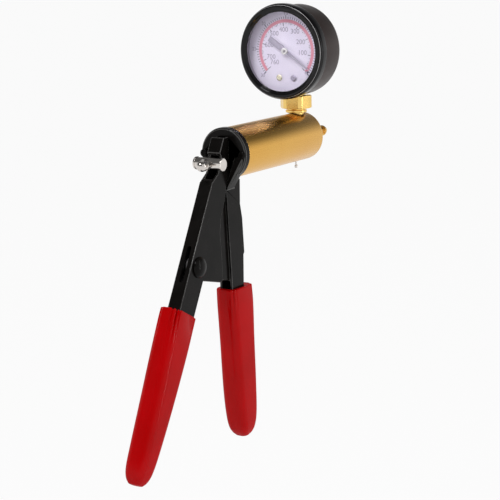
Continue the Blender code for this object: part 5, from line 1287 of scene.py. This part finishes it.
def build_case():
    low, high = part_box("gauge_case")
    profile = [
        (0.0, high.x, 0.0),
        (high.y, high.x, CASE_CORNER_ROUND),
        (high.y, low.x, THIN_ROUND),
        (high.y - CASE_WALL, low.x, THIN_ROUND),
        (high.y - CASE_WALL, high.x - CASE_WALL, CASE_INNER_ROUND),
        (0.0, high.x - CASE_WALL, 0.0),
    ]
    case = turned("case", profile, GAUGE_AXIS, FORWARD, ROUND_STEPS)
    case = drill(case, NECK_HOLE_RADIUS, NECK_HOLE_FOOT, NECK_HOLE_TOP, upright_axis("socket_washer"), UP)
    dress(smooth(case, METAL_ANGLE), "pump_body", "gauge_case", "gauge_black", case_black)


def build_bezel():
    """The rolled ring that holds the lens; the outer slope of its roll gets a painted highlight."""
    low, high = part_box("gauge_bezel")
    lip_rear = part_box("gauge_lens")[0].x - SEAT_GAP
    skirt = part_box("gauge_case")[1].y + FIT_GAP
    profile = [(high.y, high.x, FINE_ROUND)]
    profile += [(high.y - inward, low.x + back, rounding) for inward, back, rounding in BEZEL_ROLL]
    profile += [(BEZEL_LIP_RADIUS + outward, low.x + back, rounding) for outward, back, rounding in BEZEL_LIP]
    profile += [(BEZEL_LIP_RADIUS, lip_rear, 0.0), (skirt, lip_rear, 0.0), (skirt, high.x, THIN_ROUND)]
    bezel = turned("bezel", profile, GAUGE_AXIS, FORWARD, ROUND_STEPS)
    # Faces on the outer slope of the roll take the painted highlight, the rest stay black
    for face in bezel.data.polygons:
        outward = math.hypot(face.center.y, face.center.z - GAUGE_AXIS.z)
        sloping = ROLL_HIGHLIGHT_TILT_LOW < -face.normal.x < ROLL_HIGHLIGHT_TILT_HIGH
        face.material_index = 1 if outward > high.y - ROLL_HIGHLIGHT_REACH and sloping else 0
    dress(bezel, "pump_body", "gauge_bezel", "gauge_black", gauge_black, roll_painted_highlight)


def build_lens():
    low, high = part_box("gauge_lens")
    lens = bar("lens", high.y, high.x, low.x, GAUGE_AXIS, FORWARD, FINE_STEPS, THIN_ROUND)
    dress(lens, "pump_body", "gauge_lens", "lens_glass", lens_glass)
    low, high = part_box("lens_gasket")
    outer = high.y - GASKET_FLANGE_WIDTH
    profile = [
        (high.y, low.x, HAIR_ROUND),
        (high.y, low.x + GASKET_FLANGE_DEPTH, HAIR_ROUND),
        (outer, low.x + GASKET_FLANGE_DEPTH, 0.0),
        (outer, high.x, HAIR_ROUND),
        (outer - GASKET_WALL, high.x, HAIR_ROUND),
        (outer - GASKET_WALL, low.x, HAIR_ROUND),
    ]
    gasket = turned("gasket", profile, GAUGE_AXIS, FORWARD)
    # The gasket is white plastic, shown in a painted shade of grey
    dress(gasket, "pump_body", "lens_gasket", "white_plastic", gasket_painted_shade)


# Dial print; angles are anticlockwise from the reader's right
PRINT_HEIGHT = 0.00004
SCALE_ZERO = math.radians(-43.1)
SCALE_END = math.radians(221.0)
MAIN_STEP = math.radians(34.793)
OUTER_STEP = math.radians(8.837)
RING_INNER = 0.0153
RING_OUTER = 0.0170
RING_STEPS = 120
DIGIT_SHARE = 0.7
DIGIT_STEPS = 3
MAIN_NUMBER_HEIGHT = 0.0026
OUTER_NUMBER_HEIGHT = 0.0019
OUTER_NUMBER_RADIUS = 0.0201
OUTER_NUMBERS = 6
OUTER_NUMBER_STEP = 5

# The inner numbers: (text, radius, angle in degrees)
MAIN_NUMBERS = (
    ("100", 0.0100, -4.6),
    ("200", 0.0103, 28.6),
    ("300", 0.0119, 61.8),
    ("400", 0.0115, 96.8),
    ("500", 0.0118, 128.0),
    ("600", 0.0110, 164.0),
    ("700", 0.0100, 199.0),
    ("760", 0.0096, 220.0),
)

# Rows of marks: (name, count, start, step, inner radius, length, width)
MARK_ROWS = (
    ("hundreds", 8, SCALE_ZERO, MAIN_STEP, 0.0134, 0.0017, 0.00034),
    ("fifties", 15, SCALE_ZERO, MAIN_STEP / 2.0, 0.0141, 0.0010, 0.00026),
    ("tens", 38, SCALE_ZERO, MAIN_STEP / 5.0, 0.0145, 0.0007, 0.00022),
    ("halves", 60, SCALE_ZERO, OUTER_STEP / 2.0, 0.0172, 0.0012, 0.00034),
    ("fives", 7, SCALE_ZERO, OUTER_STEP * OUTER_NUMBER_STEP, 0.0172, 0.0019, 0.00040),
    ("last", 1, SCALE_END, 0.0, 0.0130, 0.0055, 0.00030),
)


def dial_matrix():
    """From the dial's own plane (reader's right, up, towards the reader) to the world."""
    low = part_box("gauge_dial")[0]
    turn = Matrix(((0, 0, -1, 0), (-1, 0, 0, 0), (0, 1, 0, 0), (0, 0, 0, 1)))
    return Matrix.Translation(GAUGE_AXIS + FORWARD * low.x) @ turn


def build_marks_tree():
    """Geometry nodes that lay a row of thin printed marks round a circle."""
    tree = bpy.data.node_groups.new("dial_marks", "GeometryNodeTree")
    tree.is_modifier = True
    tree.interface.new_socket("Geometry", in_out="INPUT", socket_type="NodeSocketGeometry")
    for label, kind in (
        ("Count", "NodeSocketInt"),
        ("Start", "NodeSocketFloat"),
        ("Step", "NodeSocketFloat"),
        ("Inner Radius", "NodeSocketFloat"),
        ("Length", "NodeSocketFloat"),
        ("Width", "NodeSocketFloat"),
        ("Print Height", "NodeSocketFloat"),
        ("Ink", "NodeSocketMaterial"),
    ):
        tree.interface.new_socket(label, in_out="INPUT", socket_type=kind)
    tree.interface.new_socket("Geometry", in_out="OUTPUT", socket_type="NodeSocketGeometry")
    given = tree.nodes.new("NodeGroupInput").outputs
    out = tree.nodes.new("NodeGroupOutput")

    def calculate(operation, *values):
        node = add_node(tree, "ShaderNodeMath", dict(enumerate(values)), operation=operation)
        return node.outputs["Value"]

    def vector(x, y, z):
        return add_node(tree, "ShaderNodeCombineXYZ", {"X": x, "Y": y, "Z": z}).outputs["Vector"]

    index = tree.nodes.new("GeometryNodeInputIndex").outputs["Index"]
    angle = calculate("ADD", given["Start"], calculate("MULTIPLY", index, given["Step"]))
    radius = calculate("ADD", given["Inner Radius"], calculate("MULTIPLY", given["Length"], 0.5))
    x = calculate("MULTIPLY", radius, calculate("COSINE", angle))
    y = calculate("MULTIPLY", radius, calculate("SINE", angle))
    z = calculate("MULTIPLY", given["Print Height"], 0.5)
    points = add_node(tree, "GeometryNodePoints", {"Count": given["Count"], "Position": vector(x, y, z)})
    size = vector(given["Length"], given["Width"], given["Print Height"])
    mark = add_node(tree, "GeometryNodeMeshCube", {"Size": size})
    row = add_node(
        tree,
        "GeometryNodeInstanceOnPoints",
        {
            "Points": points.outputs["Points"],
            "Instance": mark.outputs["Mesh"],
            "Rotation": vector(0.0, 0.0, angle),
        },
    )
    real = add_node(tree, "GeometryNodeRealizeInstances", {"Geometry": row.outputs["Instances"]})
    inked = add_node(
        tree, "GeometryNodeSetMaterial", {"Geometry": real.outputs["Geometry"], "Material": given["Ink"]}
    )
    tree.links.new(inked.outputs["Geometry"], out.inputs["Geometry"])
    return tree


def mark_row(tree, name, count, start, step, inner, length, width):
    """A row of marks, made by the node tree with its named inputs."""
    obj = new_object(name, bpy.data.meshes.new(name))
    modifier = obj.modifiers.new("marks", "NODES")
    modifier.node_group = tree
    values = {
        "Count": count,
        "Start": start,
        "Step": step,
        "Inner Radius": inner,
        "Length": length,
        "Width": width,
        "Print Height": PRINT_HEIGHT,
        "Ink": print_marks,
    }
    for item in tree.interface.items_tree:
        if item.in_out == "INPUT" and item.name in values:
            modifier[item.identifier] = values[item.name]
    obj.matrix_world = dial_matrix()
    return bake_shape(obj)


def join_pieces(name, pieces):
    """One object from several plain meshes."""
    work = bmesh.new()
    for piece in pieces:
        work.from_mesh(piece.data)
        bpy.data.objects.remove(piece)
    mesh = bpy.data.meshes.new(name)
    work.to_mesh(mesh)
    work.free()
    return new_object(name, mesh)


def printed_number(text, height, radius, angle):
    """A number printed upright on the dial at a radius and an angle."""
    curve = bpy.data.curves.new("number_" + text, "FONT")
    curve.body = text
    curve.size = height / DIGIT_SHARE
    curve.align_x = "CENTER"
    curve.align_y = "CENTER"
    curve.extrude = PRINT_HEIGHT / 2.0
    curve.resolution_u = DIGIT_STEPS
    obj = new_object("number_" + text, curve)
    place = Vector((radius * math.cos(angle), radius * math.sin(angle), PRINT_HEIGHT / 2.0))
    obj.matrix_world = dial_matrix() @ Matrix.Translation(place)
    return bake_shape(obj)


def build_red_ring():
    """The red band printed between the two scales."""
    place = dial_matrix()
    work = bmesh.new()
    sections = []
    for i in range(RING_STEPS + 1):
        angle = SCALE_ZERO + (SCALE_END - SCALE_ZERO) * i / RING_STEPS
        section = []
        for radius, height in (
            (RING_INNER, 0.0),
            (RING_OUTER, 0.0),
            (RING_OUTER, PRINT_HEIGHT),
            (RING_INNER, PRINT_HEIGHT),
        ):
            corner = Vector((radius * math.cos(angle), radius * math.sin(angle), height))
            section.append(work.verts.new(place @ corner))
        sections.append(section)
    for before, after in zip(sections, sections[1:]):
        for i in range(4):
            j = (i + 1) % 4
            work.faces.new((before[i], before[j], after[j], after[i]))
    work.faces.new(sections[0])
    work.faces.new(sections[-1])
    ring_print = mesh_object("dial_red_ring", work)
    dress(ring_print, "pump_body", "", "dial_enamel", print_red)


def build_dial():
    low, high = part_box("gauge_dial")
    dial = bar("dial", high.y, high.x, low.x, GAUGE_AXIS, FORWARD, FINE_STEPS, HAIR_ROUND)
    dress(dial, "pump_body", "gauge_dial", "dial_enamel", dial_enamel)
    tree = build_marks_tree()
    marks = join_pieces("dial_marks", [mark_row(tree, *row) for row in MARK_ROWS])
    dress(marks, "pump_body", "", "dial_enamel", print_marks)
    build_red_ring()
    numbers = [
        printed_number(text, MAIN_NUMBER_HEIGHT, radius, math.radians(degrees))
        for text, radius, degrees in MAIN_NUMBERS
    ]
    for i in range(1, OUTER_NUMBERS + 1):
        value = i * OUTER_NUMBER_STEP
        angle = SCALE_ZERO + OUTER_STEP * value
        numbers.append(printed_number(str(value), OUTER_NUMBER_HEIGHT, OUTER_NUMBER_RADIUS, angle))
    text = join_pieces("dial_numbers", numbers)
    dress(text, "pump_body", "", "dial_enamel", print_dark)


# Small pieces on the dial
DIAL_SCREW_SHANK_RADIUS = 0.0006
DIAL_SCREW_HEAD = 0.0007
DIAL_SCREW_SHOULDER = 0.00025
DIAL_SCREW_CROWN_SHARE = 0.6
DIAL_SCREW_SLOT_SHARE = 1.2
LEFT_SLOT_TURN = math.radians(35.0)
RIGHT_SLOT_TURN = math.radians(-20.0)
POINTER_EDGE = 0.00007
POINTER_EDGE_STEPS = 2
SPINDLE_HOLE_RADIUS = 0.0007


def build_dial_screws():
    for side, material, slot, turn in (
        ("left", pale_brass, "brass", LEFT_SLOT_TURN),
        ("right", grey_zinc, "zinc_steel", RIGHT_SLOT_TURN),
    ):
        node = "dial_screw_" + side
        piece = screw(
            "dial_screw_piece_" + side,
            node,
            DIAL_SCREW_SHANK_RADIUS,
            HAIR_ROUND,
            DIAL_SCREW_HEAD,
            DIAL_SCREW_SHOULDER,
            FINE_ROUND,
            DIAL_SCREW_CROWN_SHARE,
            EASY_ROUND,
        )
        piece = smooth(cut_slot(piece, node, DIAL_SCREW_SLOT_SHARE, turn))
        dress(piece, "pump_body", node, slot, material)


def build_stop_pin():
    low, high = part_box("stop_pin")
    radius = (high.y - low.y) / 2.0
    profile = [(0.0, high.x, 0.0), (radius, high.x, 0.0), (radius, low.x, FINE_ROUND), (0.0, low.x, 0.0)]
    pin = turned("stop", profile, lengthwise_axis("stop_pin"), FORWARD, THIN_STEPS)
    dress(pin, "pump_body", "stop_pin", "zinc_steel", grey_zinc)


def build_pointer():
    hand = eased_copy("pointer", "hand", POINTER_EDGE, (pointer_grey,), POINTER_EDGE_STEPS)
    dress(hand, "pointer_body", "pointer", "pointer_grey", pointer_grey)
    low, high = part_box("pointer_hub")
    profile = [
        (SPINDLE_HOLE_RADIUS, low.x, HAIR_ROUND),
        (high.y, low.x, EASY_ROUND),
        (high.y, high.x, HAIR_ROUND),
        (SPINDLE_HOLE_RADIUS, high.x, 0.0),
    ]
    hub = turned("hub", profile, GAUGE_AXIS, FORWARD, SMALL_STEPS)
    dress(hub, "pointer_body", "pointer_hub", "white_plastic", white_plastic)


# Studio; the camera's place and directions were fitted to the photo's outlines
CAMERA_PLACE = Vector((-0.680312, -0.435009, 0.223620))
CAMERA_AHEAD = Vector((0.830814, 0.520021, -0.198309))
CAMERA_UP = Vector((0.180800, 0.084810, 0.979856))
CAMERA_RIGHT = CAMERA_AHEAD.cross(CAMERA_UP)
LENS = 112.377
SENSOR = 36.0
SHIFT_X = -0.001
SHIFT_Y = 0.001
CLIP_START = 0.01
CLIP_END = 100.0
FLOOR_DROP = 0.13
FLOOR_REACH = 12.0
FLOOR_CELLS = 8
FLOOR_GREY = 0.9
FLOOR_ROUGHNESS = 0.9
FLOOR_GLOW_SHARE = 0.92
WHITE = (1.0, 1.0, 1.0, 1.0)
OPEN_WHITE = 1.0
ROOM_LEVEL = 0.50
LAMPS_AIM = Vector((-0.01, 0.0, 0.09))


def build_camera():
    camera = bpy.data.cameras.new("camera")
    camera.lens = LENS
    camera.sensor_width = SENSOR
    camera.sensor_fit = "HORIZONTAL"
    camera.shift_x = SHIFT_X
    camera.shift_y = SHIFT_Y
    camera.clip_start = CLIP_START
    camera.clip_end = CLIP_END
    obj = new_object("camera", camera)
    turn = Matrix((CAMERA_RIGHT, CAMERA_UP, -CAMERA_AHEAD)).transposed().to_4x4()
    obj.matrix_world = Matrix.Translation(CAMERA_PLACE) @ turn
    bpy.context.scene.camera = obj
    return obj


def larger(tree, first, second):
    """The larger of two values."""
    return add_node(tree, "ShaderNodeMath", {0: first, 1: second}, operation="MAXIMUM").outputs["Value"]


def white_light(tree, strength):
    """A white background of a given strength."""
    node = add_node(tree, "ShaderNodeBackground", {"Color": WHITE, "Strength": strength})
    return node.outputs["Background"]


def build_room():
    """White for the camera, softer for light, and for metal a room that darkens upwards."""
    world = bpy.data.worlds.new("room")
    bpy.context.scene.world = world
    world.use_nodes = True
    tree = world.node_tree
    tree.nodes.clear()
    rays = add_node(tree, "ShaderNodeLightPath").outputs
    place = add_node(tree, "ShaderNodeTexCoord").outputs["Generated"]
    height = add_node(tree, "ShaderNodeSeparateXYZ", {"Vector": place}).outputs["Z"]
    rise = add_node(
        tree,
        "ShaderNodeMapRange",
        {"Value": height, "From Min": 0.02, "From Max": 0.50, "To Min": 1.0, "To Max": 0.12},
        interpolation_type="SMOOTHSTEP",
    )
    soft = white_light(tree, ROOM_LEVEL)
    mirrored = white_light(tree, rise.outputs["Result"])
    lit = mixed_shaders(tree, rays["Is Glossy Ray"], soft, mirrored)
    direct = larger(tree, rays["Is Camera Ray"], rays["Is Transmission Ray"])
    shown = mixed_shaders(tree, direct, lit, white_light(tree, OPEN_WHITE))
    add_node(tree, "ShaderNodeOutputWorld", {"Surface": shown})


def build_floor():
    """A wide floor that is nearly white for the camera and in reflections, and plain for light."""
    work = bmesh.new()
    bmesh.ops.create_grid(work, x_segments=FLOOR_CELLS, y_segments=FLOOR_CELLS, size=FLOOR_REACH)
    mesh = bpy.data.meshes.new("floor")
    work.to_mesh(mesh)
    work.free()
    floor = new_object("floor", mesh)
    floor.location = (0.0, 0.0, model_box[0][2] - FLOOR_DROP)
    material = bpy.data.materials.new("pale_floor")
    material.use_nodes = True
    tree = material.node_tree
    shader = tree.nodes["Principled BSDF"]
    shader.inputs["Base Color"].default_value = (FLOOR_GREY, FLOOR_GREY, FLOOR_GREY, 1.0)
    shader.inputs["Roughness"].default_value = FLOOR_ROUGHNESS
    rays = add_node(tree, "ShaderNodeLightPath").outputs
    direct = larger(tree, rays["Is Camera Ray"], rays["Is Transmission Ray"])
    seen = larger(tree, direct, rays["Is Glossy Ray"])
    share = add_node(tree, "ShaderNodeMath", {0: seen, 1: FLOOR_GLOW_SHARE}, operation="MULTIPLY")
    white = add_node(tree, "ShaderNodeEmission", {"Strength": 1.0}).outputs["Emission"]
    shown = mixed_shaders(tree, share.outputs["Value"], shader.outputs["BSDF"], white)
    tree.links.new(shown, tree.nodes["Material Output"].inputs["Surface"])
    mesh.materials.append(material)
    return floor


def build_lamp(name, right, up, ahead, width, height, power):
    """A soft lamp, placed from the pump's middle along the camera's own directions."""
    lamp = bpy.data.lights.new(name, "AREA")
    lamp.shape = "RECTANGLE"
    lamp.size = width
    lamp.size_y = height
    lamp.energy = power
    obj = new_object(name, lamp)
    place = LAMPS_AIM + CAMERA_RIGHT * right + CAMERA_UP * up + CAMERA_AHEAD * ahead
    turn = (LAMPS_AIM - place).to_track_quat("-Z", "Y").to_matrix().to_4x4()
    obj.matrix_world = Matrix.Translation(place) @ turn
    return obj


finish_kept_pieces()
build_pressed_pieces()
build_pivot()
build_head_screws()
build_fixed_grip()
build_lever_grip()
build_cylinder()
build_rod()
build_springs()
build_release_pin()
build_nozzle()
build_socket()
build_case()
build_bezel()
build_lens()
build_dial()
build_dial_screws()
build_stop_pin()
build_pointer()

build_room()
camera = build_camera()
floor = build_floor()
key = build_lamp("key_lamp", right=-0.35, up=0.62, ahead=-0.50, width=0.22, height=0.22, power=2.2)
front = build_lamp("front_lamp", right=0.50, up=0.45, ahead=-0.70, width=0.60, height=0.40, power=0.7)
side = build_lamp("side_lamp", right=0.72, up=0.15, ahead=-0.15, width=0.06, height=0.80, power=1.0)
rear = build_lamp("rear_lamp", right=0.10, up=0.75, ahead=0.50, width=0.50, height=0.30, power=0.2)
bpy.context.scene.view_settings.view_transform = "Standard"
